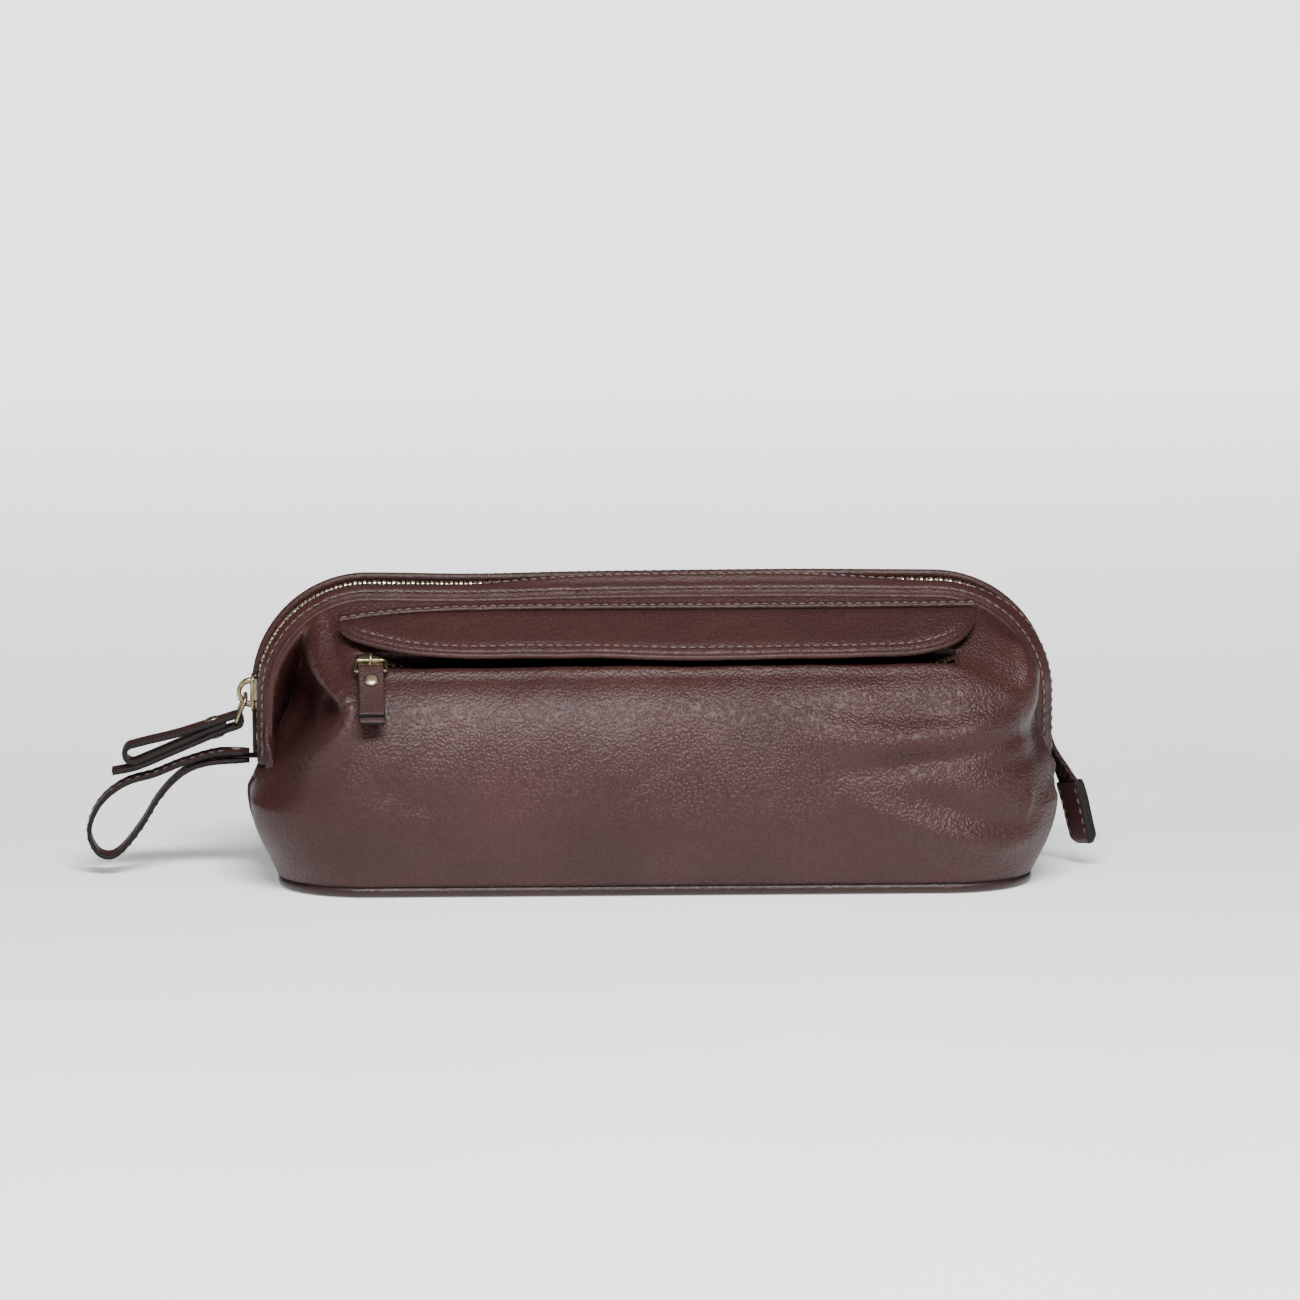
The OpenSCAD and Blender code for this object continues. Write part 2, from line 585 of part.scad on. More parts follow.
slider_plate = 1.1;
slider_room = 2;
slider_slot = 1;
bridge_wire = 0.8;
bridge_r = 4;
module slider_frame() {
  translate([-half_path, 0, corner_z]) mirror([1, 0, 0]) children();
}
module slider_body() {
  color(BRASS) slider_frame() slider(slider_length, slider_width, slider_plate, slider_room, slider_slot,
      -slider_length / 2 + 1.6);
}
module slider_bridge() {
  color(BRASS) slider_frame() difference() {
    bridge(slider_room + slider_plate, bridge_r, bridge_wire);
    translate([slider_room, -5, -10]) cube([slider_plate, 10, 20]);
  }
}

// ---- Main puller: a wire link and a folded leather tab, in the XZ plane ----
link_wire = 0.7;
link_length = 8.6;
link_width = puller_width + 2 * (link_wire + 0.4);
link_angle = 112; // direction of the link, from +X towards -Z, degrees
link_start = [-(half_path + slider_room + slider_plate + 1.8), corner_z - 1.3];
link_end = link_start + link_length * [cos(link_angle), -sin(link_angle)];
puller_angle = 162;
module puller_frame() {
  translate([link_end[0], 0, link_end[1]]) rotate([0, puller_angle, 0]) children();
}
module puller_link() {
  color(BRASS) translate([link_start[0], 0, link_start[1]]) rotate([0, link_angle, 0])
    wire_loop(link_length, link_width, link_wire, 1.6);
}
eye_mid = link_wire + GAP + puller_leather / 2;
leaf = puller_leather + 0.15;
puller_curl = 2.85;
curl_top = -2 * leaf + 0.3;
// Path of the strip: lower free end, round the link, upper leaf, curl, and back between the leaves.
// x runs along the puller and y points down.
puller_path = concat(
  spline([[puller_length + 4.5, 1.9 * leaf], [puller_length - 4, curl_top + 2 * puller_curl + leaf],
    [0.6 * puller_length, 1.92 * leaf], [12, 1.32 * leaf], [7, 1.06 * leaf], [3, eye_mid]], 3),
  arc([0, 0], eye_mid, 90, 270, 12),
  spline([[7, -1.04 * leaf], [0.5 * puller_length, -1.15 * leaf], [0.75 * puller_length, -1.62 * leaf]], 3),
  arc([puller_length - 4, curl_top + puller_curl], puller_curl, -90, 90, 12),
  spline([[0.75 * puller_length, 1.16 * leaf], [0.6 * puller_length, 0.88 * leaf], [12, 0.2 * leaf], [6,
      0], [3.6, 0]], 3)
);
module puller_tab() {
  color(BROWN) puller_frame() difference() {
    rotate([-90, 0, 0]) mirror([0, 1, 0]) linear_extrude(puller_width, center = true)
      polygon(strap_outline(puller_path, puller_leather));
    translate([puller_rivet_x, 0, -10]) cylinder(h = 20, r = rivet_pin_r + pin_clearance);
  }
}
puller_rivet_x = 7.5;
rivet_pin_r = 0.9;
rivet_head_r = 2.8;
module rivet(low, high, head_r, head_h) {
  translate([0, 0, low]) cylinder(h = high - low, r = rivet_pin_r);
  translate([0, 0, low - head_h]) cylinder(h = head_h, r = head_r);
  translate([0, 0, high]) cylinder(h = head_h, r = head_r);
}
module puller_rivet() {
  reach = 1.06 * leaf + puller_leather / 2;
  color(BRASS) puller_frame() translate([puller_rivet_x, 0, 0]) rivet(-reach - 0.05, reach + 0.3,
      rivet_head_r, 0.8);
}

// ---- Pocket slider and its pull ----
pocket_link_start = [-pocket_zip_drop - 0.6, pocket_z + 3.2]; // along the shoulder and off its face
pocket_link_end = [-pocket_zip_drop - 9, pocket_z + 6.05];
pocket_link_wire = 0.55;
pull_width = 8.5;
pocket_link_width = pull_width + 2 * (pocket_link_wire + 0.35);
pull_angle = 40;
pull_length = 22;
pull_leather = 1.2;
pocket_room = 1.5;
pocket_plate = 0.8;
pocket_bridge_r = 2.3;
module pocket_slider_frame() {
  on_shoulder() translate([pocket_park, -pocket_zip_drop, pocket_z]) rotate([0, -90, 0]) children();
}
module pocket_slider_body() {
  color(BRASS) pocket_slider_frame() 
    slider(pocket_slider_length, pocket_slider_width, pocket_plate, pocket_room, 0.7,
        pocket_slider_length / 2 - 1.6);
}
module pocket_slider_bridge() {
  color(BRASS) pocket_slider_frame() difference() {
    rotate([90, 0, 0]) bridge(pocket_room + pocket_plate, pocket_bridge_r, pocket_link_wire);
    translate([pocket_room, -6, -4]) cube([pocket_plate, 12, 8]);
  }
}
module pocket_pull_link() {
  d = pocket_link_end - pocket_link_start;
  color(BRASS) on_shoulder() translate([pocket_park, pocket_link_start[0], pocket_link_start[1]])
    rotate([atan2(d[1], d[0]), 0, 0]) rotate([0, 0, 90]) wire_loop(norm(d), pocket_link_width,
        pocket_link_wire, 1.2);
}
pull_eye_mid = pocket_link_wire + GAP + pull_leather / 2;
pull_leaf = pull_leather / 2 + 0.1;
pull_rivet_x = 5.3;
pull_rivet_head_r = 2.6;
pull_path = concat([[pull_length, -1.5 * pull_leaf], [10, -pull_leaf], [6.5, -1.2 * pull_leaf], [4,
    -1.5 * pull_leaf]],
  arc([0, 0], pull_eye_mid, -90, -270, 12),
  [[4, 1.5 * pull_leaf], [6.5, 1.2 * pull_leaf], [10, pull_leaf], [pull_length - 2, pull_leaf]]);
module pull_frame() {
  on_shoulder() translate([pocket_park, pocket_link_end[0], pocket_link_end[1]])
    rotate([pull_angle - shoulder_slope, 0, 0]) rotate([0, 0, -90]) children();
}
module pocket_pull_tab() {
  color(BROWN) pull_frame() difference() {
    rotate([90, 0, 0]) linear_extrude(pull_width, center = true) polygon(strap_outline(pull_path,
        pull_leather));
    translate([pull_rivet_x, 0, -6]) cylinder(h = 12, r = rivet_pin_r + pin_clearance);
  }
}
module pocket_pull_rivet() {
  reach = 1.5 * pull_leaf + pull_leather / 2 + 0.1;
  color(BRASS) pull_frame() translate([pull_rivet_x, 0, 0]) rivet(-reach, reach, pull_rivet_head_r, 0.5);
}

// ---- Wrist loop at the left pivot, and the zip's tail at the right one ----
strap_pin_r = 0.8;
tongue_thickness = 0.6;
strap_axis_x = half_path + 2.2 + strap_width / 2;
strand_mid = tongue_thickness / 2 + GAP + strap_thickness / 2;
// The loop from its upper strand's root round to its lower strand's: [away from the bag, up]
strap_points = concat([[0, 0], [7, -0.3], [18, -3.4], [27, -7], [36, -9.6], [43, -14.2], [47.4, -20.2],
    [49, -27],
  [46.4, -33], [42, -34.6], [37.4, -31.6], [31.5, -24], [25.5, -14.4], [18, -6.8], [10, -3.5]], [[0,
      -2 * strand_mid]]);
module strap_frame() {
  translate([-strap_axis_x, 0, pivot_z - 0.7]) mirror([1, 0, 0]) children();
}
module round_end(t) {
  difference() {
    translate([0, 0, -t / 2]) cylinder(h = t, d = strap_width);
    translate([0, 0, -t]) cylinder(h = 2 * t, r = strap_pin_r + pin_clearance);
  }
}
module wrist_strap() {
  color(BROWN) strap_frame() {
    difference() {
      translate([0, 0, strand_mid]) rotate([90, 0, 0]) linear_extrude(strap_width, center = true)
        polygon(strap_outline(spline(strap_points, 4), strap_thickness));
      translate([0, 0, -50]) cylinder(h = 100, r = strap_pin_r);
    }
    for (s = [-1, 1]) translate([0, 0, s * strand_mid]) round_end(strap_thickness);
  }
}
module strap_pin() {
  color(DARK) strap_frame() translate([0, 0, -strand_mid - strap_thickness / 2])
    cylinder(h = 2 * strand_mid + strap_thickness, r = strap_pin_r);
}
module strap_tongue() {
  color(DARK) strap_frame() {
    round_end(tongue_thickness);
    translate([-strap_width / 2 - 1, -strap_width / 2 + 1, -tongue_thickness / 2])
      cube([strap_width / 2 + 1 - 1.5, strap_width - 2, tongue_thickness]);
  }
}
tail_tape_thickness = 1.6;
tail_axis = [half_path + tooth_height / 2 + GAP + tail_tape_thickness / 2 + 0.1, pivot_z + 4];
tail_width = 11;
tail_path = [[0, 0], [1, -4], [3.2, -10.5], [6.4, -18.6]]; // away from the bag, up
tab_width = 13;
tab_thickness = 4.4;
tab_path = [[5.9, -17.4], [9.8, -27], [13.4, -36]];
tab_slot_path = [[3.2, -10.5], [6.6, -19.1]];
module tail_frame() {
  translate([tail_axis[0], 0, tail_axis[1]]) rotate([90, 0, 0]) children();
}
module tail_tape() {
  color(DARK) tail_frame() {
    linear_extrude(tail_width, center = true) polygon(strap_outline(tail_path, tail_tape_thickness));
    cylinder(h = tail_width, r = tail_tape_thickness / 2, center = true);
  }
}
module tail_tab() {
  color(BROWN) tail_frame() linear_extrude(tab_width, center = true) difference() {
    polygon(strap_outline(tab_path, tab_thickness));
    polygon(strap_outline(tab_slot_path, tail_tape_thickness + 0.1));
  }
}

base_panel();
base_board();
base_piping();
base_lining();
front_panel_lower();
back_panel_lower();
front_panel_crease();
back_panel_crease();
lining_tub();
lining_front();
lining_back();
pocket_pouch();
left_end_welt();
right_end_welt();
left_frame_rivet();
right_frame_rivet();
front_bow();
front_band();
front_zip_tape();
front_zip_teeth();
front_zip_stops();
front_panel_upper();
pocket_tape_upper();
pocket_tape_lower();
pocket_teeth();
pocket_zip_stops();
back_bow();
back_band();
back_zip_tape();
back_zip_teeth();
back_zip_stops();
back_panel_upper();
slider_body();
slider_bridge();
puller_link();
puller_tab();
puller_rivet();
pocket_flap();
flap_piping();
pocket_slider_body();
pocket_slider_bridge();
pocket_pull_link();
pocket_pull_tab();
pocket_pull_rivet();
wrist_strap();
strap_pin();
strap_tongue();
tail_tape();
tail_tab();
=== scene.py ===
"""A framed leather wash bag: the detailed pieces, their materials, the light and the camera."""
import math

import bmesh
import bpy
import numpy as np
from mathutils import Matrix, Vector


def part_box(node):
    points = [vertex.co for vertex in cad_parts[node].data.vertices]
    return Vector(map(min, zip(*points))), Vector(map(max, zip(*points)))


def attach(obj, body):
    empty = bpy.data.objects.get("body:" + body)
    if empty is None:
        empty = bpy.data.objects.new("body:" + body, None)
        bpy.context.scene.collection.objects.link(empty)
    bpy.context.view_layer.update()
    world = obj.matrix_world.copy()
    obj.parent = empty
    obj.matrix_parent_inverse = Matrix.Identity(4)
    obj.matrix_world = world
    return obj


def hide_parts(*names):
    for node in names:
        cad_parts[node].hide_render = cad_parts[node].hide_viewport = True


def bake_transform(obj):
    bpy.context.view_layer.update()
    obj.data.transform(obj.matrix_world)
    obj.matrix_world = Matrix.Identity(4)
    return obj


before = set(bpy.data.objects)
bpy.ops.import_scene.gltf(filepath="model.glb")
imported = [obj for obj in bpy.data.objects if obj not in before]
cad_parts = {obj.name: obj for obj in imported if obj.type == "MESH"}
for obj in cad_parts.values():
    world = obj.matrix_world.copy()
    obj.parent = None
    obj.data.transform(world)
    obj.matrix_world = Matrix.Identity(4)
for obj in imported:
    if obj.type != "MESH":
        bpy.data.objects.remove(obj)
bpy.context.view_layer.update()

MM = 0.001

# ---------------------------------------------------------------- the frame's measures, in millimetres


def edge(node, corner, axis):
    """One side of a CAD node's box, in millimetres. corner 0 is the low side and 1 the high side."""
    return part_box(node)[corner][axis] / MM


BASE_HALF_LENGTH = edge("base_piping", 1, 0)
BASE_HALF_DEPTH = edge("base_piping", 1, 1)
BASE_CORNER = 30.0
PANEL_BOTTOM = edge("front_panel_lower", 0, 2)
BULGE_Z = 28.0
END_BULGE = 9.0
SIDE_BULGE = 6.5
ZIP_Z = 96.5
ZIP_R = 36.0
HALF_PATH = BASE_HALF_LENGTH + 5.5
CORNER_X = HALF_PATH - ZIP_R
CORNER_Z = ZIP_Z - ZIP_R
PIVOT_Z = (edge("left_frame_rivet", 0, 2) + edge("left_frame_rivet", 1, 2)) / 2
BAND_WIDTH = 11.0
BAND_SLOPE = math.radians(30)
BAND_ORIGIN = (2.0, -6.0)
SHOULDER = math.radians(35)
SHOULDER_LENGTH = 40.0
POCKET_DROP = 28.5
POCKET_HALF = 99.0
SLIT = 8.0
POCKET_ZIP_HEIGHT = -2.65


# ---------------------------------------------------------------- small helpers


def smooth(x):
    t = np.clip(x, 0, 1)
    return t * t * (3 - 2 * t)


def mix(a, b, t):
    return a + (b - a) * t


def bell(x):
    return np.exp(-np.square(x))


def unit(v):
    return v / np.linalg.norm(v, axis=-1, keepdims=True)


def distance_along(path):
    """The distance from a path's start to each of its points."""
    return np.concatenate([[0], np.cumsum(np.linalg.norm(np.diff(path, axis=0), axis=1))])


def points_at(wanted, distances, path):
    """Points of a path at the wanted distances."""
    return np.stack([np.interp(wanted, distances, path[:, k]) for k in range(path.shape[1])], 1)


def curve_through(points, samples):
    """A smooth curve through given points of any dimension, evenly spaced along its length."""
    p = np.array(points, float)
    p = np.vstack([2 * p[0] - p[1], p, 2 * p[-1] - p[-2]])
    t = np.linspace(0, 1, 24, endpoint=False)[:, None]
    out = []
    for i in range(1, len(p) - 2):
        a, b, c, d = p[i - 1], p[i], p[i + 1], p[i + 2]
        second, third = 2 * a - 5 * b + 4 * c - d, 3 * b - a - 3 * c + d
        out.append(0.5 * (2 * b + (c - a) * t + second * t ** 2 + third * t ** 3))
    q = np.vstack(out + [p[-2:-1]])
    s = distance_along(q)
    return points_at(np.linspace(0, s[-1], samples), s, q)


def table_curve(x, points):
    """A smooth value at x from a few given (x, value) pairs."""
    p = np.array(points, float)
    q = curve_through(p, 400)
    order = np.argsort(q[:, 0])
    return np.interp(x, q[order, 0], q[order, 1])


def wobble(x, seed, scale):
    """A gentle repeatable waviness between -1 and 1 with features about `scale` long."""
    r = np.random.default_rng(seed)
    total = 0
    for k in range(4):
        phase = r.uniform(0, 6.28)
        total = total + np.sin(x / scale * (1 + 0.63 * k) * math.pi + phase) / (1 + 0.7 * k)
    return total / 2.2


def add_object(name, verts_mm, faces, material, shade_smooth=True):
    mesh = bpy.data.meshes.new(name)
    mesh.from_pydata((np.asarray(verts_mm) * MM).tolist(), [], [list(map(int, f)) for f in faces])
    mesh.update()
    bm = bmesh.new()
    bm.from_mesh(mesh)
    bmesh.ops.recalc_face_normals(bm, faces=bm.faces)
    bm.to_mesh(mesh)
    bm.free()
    for p in mesh.polygons:
        p.use_smooth = shade_smooth
    o = bpy.data.objects.new(name, mesh)
    bpy.context.collection.objects.link(o)
    for m in material if isinstance(material, (list, tuple)) else [material]:
        mesh.materials.append(m)
    return o


def grid_faces(nu, nv, start=0, flip=False, wrap_v=False, wrap_u=False):
    """The quads of a grid of nu by nv points, closed on itself where wrap_u or wrap_v says so."""
    i, j = np.meshgrid(np.arange(nu if wrap_u else nu - 1), np.arange(nv if wrap_v else nv - 1), indexing="ij")
    i, j = i.ravel(), j.ravel()
    i2, j2 = (i + 1) % nu, (j + 1) % nv
    f = np.stack([i * nv + j, i2 * nv + j, i2 * nv + j2, i * nv + j2], 1) + start
    return f[:, ::-1] if flip else f


def normals_of(P):
    """The grid's normals, point by point."""
    du = np.gradient(P, axis=0)
    dv = np.gradient(P, axis=1)
    n = np.cross(du, dv)
    return n / np.maximum(np.linalg.norm(n, axis=2, keepdims=True), 1e-9)


def thick_sheet(name, P, thickness, material, side=1):
    """A closed sheet: P is its outer face, as a grid, and the other face lies `thickness` inside it."""
    nu, nv, _ = P.shape
    N = normals_of(P) * side
    Q = P - N * thickness
    verts = np.vstack([P.reshape(-1, 3), Q.reshape(-1, 3)])
    n = nu * nv
    faces = [grid_faces(nu, nv), grid_faces(nu, nv, n, True)]
    rim = []
    for i in range(nu - 1):
        for j in (0, nv - 1):
            a, b = i * nv + j, (i + 1) * nv + j
            rim.append([a, b, b + n, a + n])
    for j in range(nv - 1):
        for i in (0, nu - 1):
            a, b = i * nv + j, i * nv + j + 1
            rim.append([a, b, b + n, a + n])
    faces.append(np.array(rim))
    return add_object(name, verts, np.vstack(faces), material)


def closed_faces(n, k, start=0):
    """The faces of n rings of k points, with a cap on each end."""
    first, last = range(start, start + k), range(start + (n - 1) * k, start + n * k)
    return list(grid_faces(n, k, start, wrap_v=True)) + [list(first), list(last)]


def loft(name, sections, material):
    """Sections (n, k, 3), already placed in space, joined into a closed solid."""
    n, k = sections.shape[:2]
    return add_object(name, sections.reshape(-1, 3), closed_faces(n, k), material)


def frames_along(path, side):
    """Tangent, sideways and upward directions at each point of a path, from one fixed sideways direction."""
    t = unit(np.gradient(path, axis=0))
    s = np.broadcast_to(np.array(side, float), t.shape)
    s = unit(s - (s * t).sum(1, keepdims=True) * t)
    return t, s, np.cross(t, s)


def circle(count):
    """Cosines and sines of evenly spaced angles, shaped to spread over points in space."""
    a = np.linspace(0, 2 * math.pi, count, endpoint=False)
    return np.cos(a)[:, None], np.sin(a)[:, None]


def round_tube(name, path, radius, material, sides=12, side=(0, 0, 1)):
    """A round cord along a path; radius is one number or one for each point."""
    s, n = frames_along(path, side)[1:]
    cosine, sine = circle(sides)
    r = np.broadcast_to(np.asarray(radius, float).reshape(-1, 1, 1), (len(path), sides, 1))
    return loft(name, path[:, None] + (s[:, None] * cosine + n[:, None] * sine) * r, material)


# A strap section's points on each face and round each side, and the depth of its stitch grooves
FACE_POINTS, CORNER_POINTS, STITCH_GROOVE = 15, 5, 0.22


def strip_section(width, thickness, corner, puff=0.0, groove=None):
    """A strap's rounded section: (across, up) points, with stitch grooves at `groove` from each side."""
    half, h = width / 2, thickness / 2
    xs = np.linspace(-half + corner, half - corner, FACE_POINTS)
    top = h + puff * np.cos(xs / half * math.pi / 2)
    if groove:
        top = top - STITCH_GROOVE * (bell((xs - half + groove) / 0.35) + bell((xs + half - groove) / 0.35))
    arc = np.linspace(0, math.pi, CORNER_POINTS + 2)[1:-1]
    right = np.stack([half - corner + corner * np.sin(arc), h * np.cos(arc)], 1)
    left = np.stack([-half + corner - corner * np.sin(arc), -h * np.cos(arc)], 1)
    return np.vstack([np.stack([xs, top], 1), right, np.stack([xs[::-1], -top[::-1]], 1), left])


def strap(name, path, section, materials, side=(0, 1, 0)):
    """A flat strap along a path. section is (across, up) points, or one such array for each path point."""
    s, n = frames_along(path, side)[1:]
    sec = np.asarray(section)
    if sec.ndim == 2:
        sec = np.broadcast_to(sec, (len(path),) + sec.shape)
    return loft(name, path[:, None] + s[:, None] * sec[..., :1] + n[:, None] * sec[..., 1:], materials)


def on_flat_face(first, last):
    """Whether a face lies on a strip's upper or lower face; first and last are its outermost section points."""
    second_face = FACE_POINTS + CORNER_POINTS
    on_second = first >= second_face and last < second_face + FACE_POINTS and last - first < CORNER_POINTS
    return last < FACE_POINTS or on_second


def cut_edges(o, section_points):
    """Paints the faces on a strap's two cut sides and its ends with its second material."""
    for p in o.data.polygons:
        columns = sorted(v % section_points for v in p.vertices)
        flat = len(columns) == 4 and on_flat_face(columns[0], columns[-1])
        p.material_index = 0 if flat else 1


def flat_strap(name, path, section, side=(0, 1, 0)):
    """A leather strap with painted edges."""
    section = np.asarray(section)
    o = strap(name, path, section, [TRIM, EDGE], side)
    cut_edges(o, section.shape[-2])
    return o


def stitches(name, path, up, material, pitch=3.0, length=2.2, radius=0.32, sink=0.1, lean=0.0):
    """Thread stitches along a path in space; `up` holds the face's direction at each point."""
    s = distance_along(path)
    count = int(s[-1] / pitch)
    middles = (np.arange(count) + 0.5) * s[-1] / count
    rings, sides = 7, 6
    cosine, sine = circle(sides)
    verts, faces = [], []
    for i, c in enumerate(middles):
        ends = points_at([c - length / 2, c + length / 2], s, path)
        size = np.linalg.norm(ends[1] - ends[0])
        n, t = unit(points_at([c], s, up)[0]), unit(ends[1] - ends[0])
        t = t * math.cos(lean) + np.cross(t, n) * math.sin(lean)
        b = np.cross(t, n)
        for q in np.linspace(-1, 1, rings):
            r = radius * math.sqrt(max(0.03, 1 - q ** 4))
            rise = radius * (0.75 - 0.9 * q * q) - sink
            p = ends.mean(0) + t * q * size / 2 + n * rise
            verts.append(p + r * (b * cosine + n * 0.8 * sine))
        faces += closed_faces(rings, sides, i * rings * sides)
    return add_object(name, np.vstack(verts), faces, material)


def lathe(name, profile, centre, axis, material, sides=40):
    """Turns (radius, height) points about an axis through centre."""
    z = Vector(axis).normalized()
    x = z.orthogonal().normalized()
    y = z.cross(x)
    cosine, sine = circle(sides)
    around = cosine * np.array(x) + sine * np.array(y)
    return loft(name, np.array([np.array(centre) + around * r + np.array(z) * h for r, h in profile]), material)


# ---------------------------------------------------------------- materials


class Nodes:
    """A short way to write a material's nodes."""

    def __init__(self, name, **shader):
        self.material = bpy.data.materials.new(name)
        self.material.use_nodes = True
        self.tree = self.material.node_tree
        self.shader = self.tree.nodes["Principled BSDF"]
        for key, value in shader.items():
            self.shader.inputs[key.replace("_", " ")].default_value = value
        self.place = self.tree.nodes.new("ShaderNodeTexCoord").outputs["Object"]

    def node(self, kind, inputs=(), **settings):
        n = self.tree.nodes.new("ShaderNode" + kind)
        for key, value in settings.items():
            setattr(n, key, value)
        for key, value in dict(inputs).items():
            if hasattr(value, "is_linked") or isinstance(value, bpy.types.NodeSocket):
                self.tree.links.new(value, n.inputs[key])
            else:
                n.inputs[key].default_value = value
        return n

    def noise(self, scale, detail=3.0, rough=0.5, vector=None, distortion=0.0):
        inputs = {"Vector": vector or self.place, "Scale": scale, "Detail": detail, "Roughness": rough,
                  "Distortion": distortion}
        return self.node("TexNoise", inputs).outputs["Fac"]

    def stretch(self, sx, sy, sz, turn=(0, 0, 0)):
        return self.node("Mapping", {"Vector": self.place, "Scale": (sx, sy, sz), "Rotation": turn}).outputs[0]

    def ramp(self, value, *stops):
        n = self.node("ValToRGB", {"Fac": value})
        n.color_ramp.elements[0].position, n.color_ramp.elements[0].color = stops[0][0], (*stops[0][1], 1)
        n.color_ramp.elements[1].position, n.color_ramp.elements[1].color = stops[-1][0], (*stops[-1][1], 1)
        for position, colour in stops[1:-1]:
            n.color_ramp.elements.new(position).color = (*colour, 1)
        return n.outputs["Color"]

    def maths(self, operation, a, b=0.0, clamp=False):
        n = self.node("Math", {0: a, 1: b}, operation=operation)
        n.use_clamp = clamp
        return n.outputs[0]

    def range(self, value, low, high, to_low, to_high):
        inputs = {"Value": value, "From Min": low, "From Max": high, "To Min": to_low, "To Max": to_high}
        return self.node("MapRange", inputs).outputs[0]

    def bump(self, height, strength, distance, under=None):
        inputs = {"Height": height, "Strength": strength, "Distance": distance}
        if under is not None:
            inputs["Normal"] = under
        return self.node("Bump", inputs).outputs[0]

    def set(self, socket, value):
        self.tree.links.new(value, self.shader.inputs[socket])


def leather(name, dark, light, grain=0.00085, rough=0.42, crackle=1.0):
    """Pebbled cowhide: cells of uneven size, fine pores, stretch lines, and soft changes of colour."""
    m = Nodes(name, IOR=1.36, Specular_IOR_Level=0.5)
    warp = m.noise(260, 2.0)
    bent = m.node("MixRGB", {"Fac": 0.0012, "Color1": m.place, "Color2": warp}, blend_type="ADD").outputs[0]
    cells = m.node("TexVoronoi", {"Vector": bent, "Scale": 1 / grain}, feature="F1").outputs["Distance"]
    pebble = m.range(cells, 0.0, 0.75, 1.0, 0.0)
    fine = m.noise(2.6 / grain, 4.0, 0.6)
    stretch = m.noise(0.35 / grain, 4.0, 0.65, distortion=0.6)
    cloud = m.noise(28, 3.0, 0.55)
    patch = m.noise(9, 2.0, 0.5)
    strength = m.range(patch, 0.3, 0.7, 0.5 * crackle, 1.2 * crackle)
    height = m.maths("ADD", m.maths("MULTIPLY", pebble, strength), m.maths("MULTIPLY", fine, 0.25))
    first = m.bump(stretch, 0.14, 0.0006)
    m.set("Normal", m.bump(height, 0.9, 0.00032, first))
    colour = m.ramp(cloud, (0.25, dark), (0.75, light))
    shade = m.range(pebble, 0.1, 0.8, 0.80, 1.06)
    shaded = m.node("MixRGB", {"Fac": 1.0, "Color1": colour, "Color2": shade}, blend_type="MULTIPLY")
    m.set("Base Color", shaded.outputs[0])
    wear = m.maths("ADD", cloud, m.maths("MULTIPLY", pebble, -0.3))
    m.set("Roughness", m.range(wear, 0.0, 1.0, rough + 0.12, rough - 0.06))
    return m.material


def edge_paint(name):
    """The dark, slightly rough paint on cut edges."""
    m = Nodes(name, Specular_IOR_Level=0.15)
    fibre = m.noise(900, 4.0, 0.7)
    m.set("Base Color", m.ramp(fibre, (0.3, (0.006, 0.005, 0.005)), (0.8, (0.022, 0.017, 0.016))))
    m.set("Roughness", m.range(fibre, 0.3, 0.7, 0.6, 0.8))
    m.set("Normal", m.bump(fibre, 0.7, 0.00025))
    return m.material


def woven(name, dark, light, pitch, rough=0.8, turn=(0, 0, 0)):
    """Close weave: two crossing ribs with a herringbone break."""
    m = Nodes(name, Roughness=rough, Specular_IOR_Level=0.12)
    at = m.stretch(1, 1, 1, turn)
    ribs = {"Vector": at, "Scale": 0.32 / pitch, "Distortion": 0.6, "Detail": 2.0, "Detail Scale": 3.0}
    warp = m.node("TexWave", ribs, bands_direction="DIAGONAL").outputs["Fac"]
    ribs = {"Vector": at, "Scale": 0.5 / pitch, "Distortion": 0.4, "Detail": 1.0}
    weft = m.node("TexWave", ribs, bands_direction="Z").outputs["Fac"]
    fuzz = m.noise(1200, 3.0, 0.6)
    height = m.maths("ADD", m.maths("MULTIPLY", warp, weft), m.maths("MULTIPLY", fuzz, 0.4))
    m.set("Base Color", m.ramp(height, (0.2, dark), (0.9, light)))
    m.set("Normal", m.bump(height, 0.8, 0.00025))
    return m.material


def thread(name, dark, light):
    """Twisted waxed thread."""
    m = Nodes(name, Roughness=0.6, Sheen_Weight=0.2, Sheen_Roughness=0.4)
    ply = {"Vector": m.stretch(1, 1, 1), "Scale": 900, "Distortion": 2.0}
    twist = m.node("TexWave", ply, bands_direction="DIAGONAL").outputs["Fac"]
    m.set("Base Color", m.ramp(twist, (0.2, dark), (0.8, light)))
    m.set("Normal", m.bump(twist, 0.6, 0.0001))
    return m.material


def metal(name, dark, light, rough, tarnish=1.0):
    """Plated metal with tarnish in soft patches and fine rubbing marks."""
    m = Nodes(name, Metallic=1.0)
    patch = m.noise(420, 4.0, 0.6)
    rub = m.noise(1.0, 3.0, 0.6, vector=m.stretch(2600, 500, 500))
    m.set("Base Color", m.ramp(patch, (0.5 - 0.25 * tarnish, dark), (0.5 + 0.2 * tarnish, light)))
    wear = m.maths("ADD", patch, m.maths("MULTIPLY", rub, 0.4))
    m.set("Roughness", m.range(wear, 0.3, 1.1, rough + 0.18, rough - 0.06))
    m.set("Normal", m.bump(rub, 0.15, 0.00005))
    return m.material


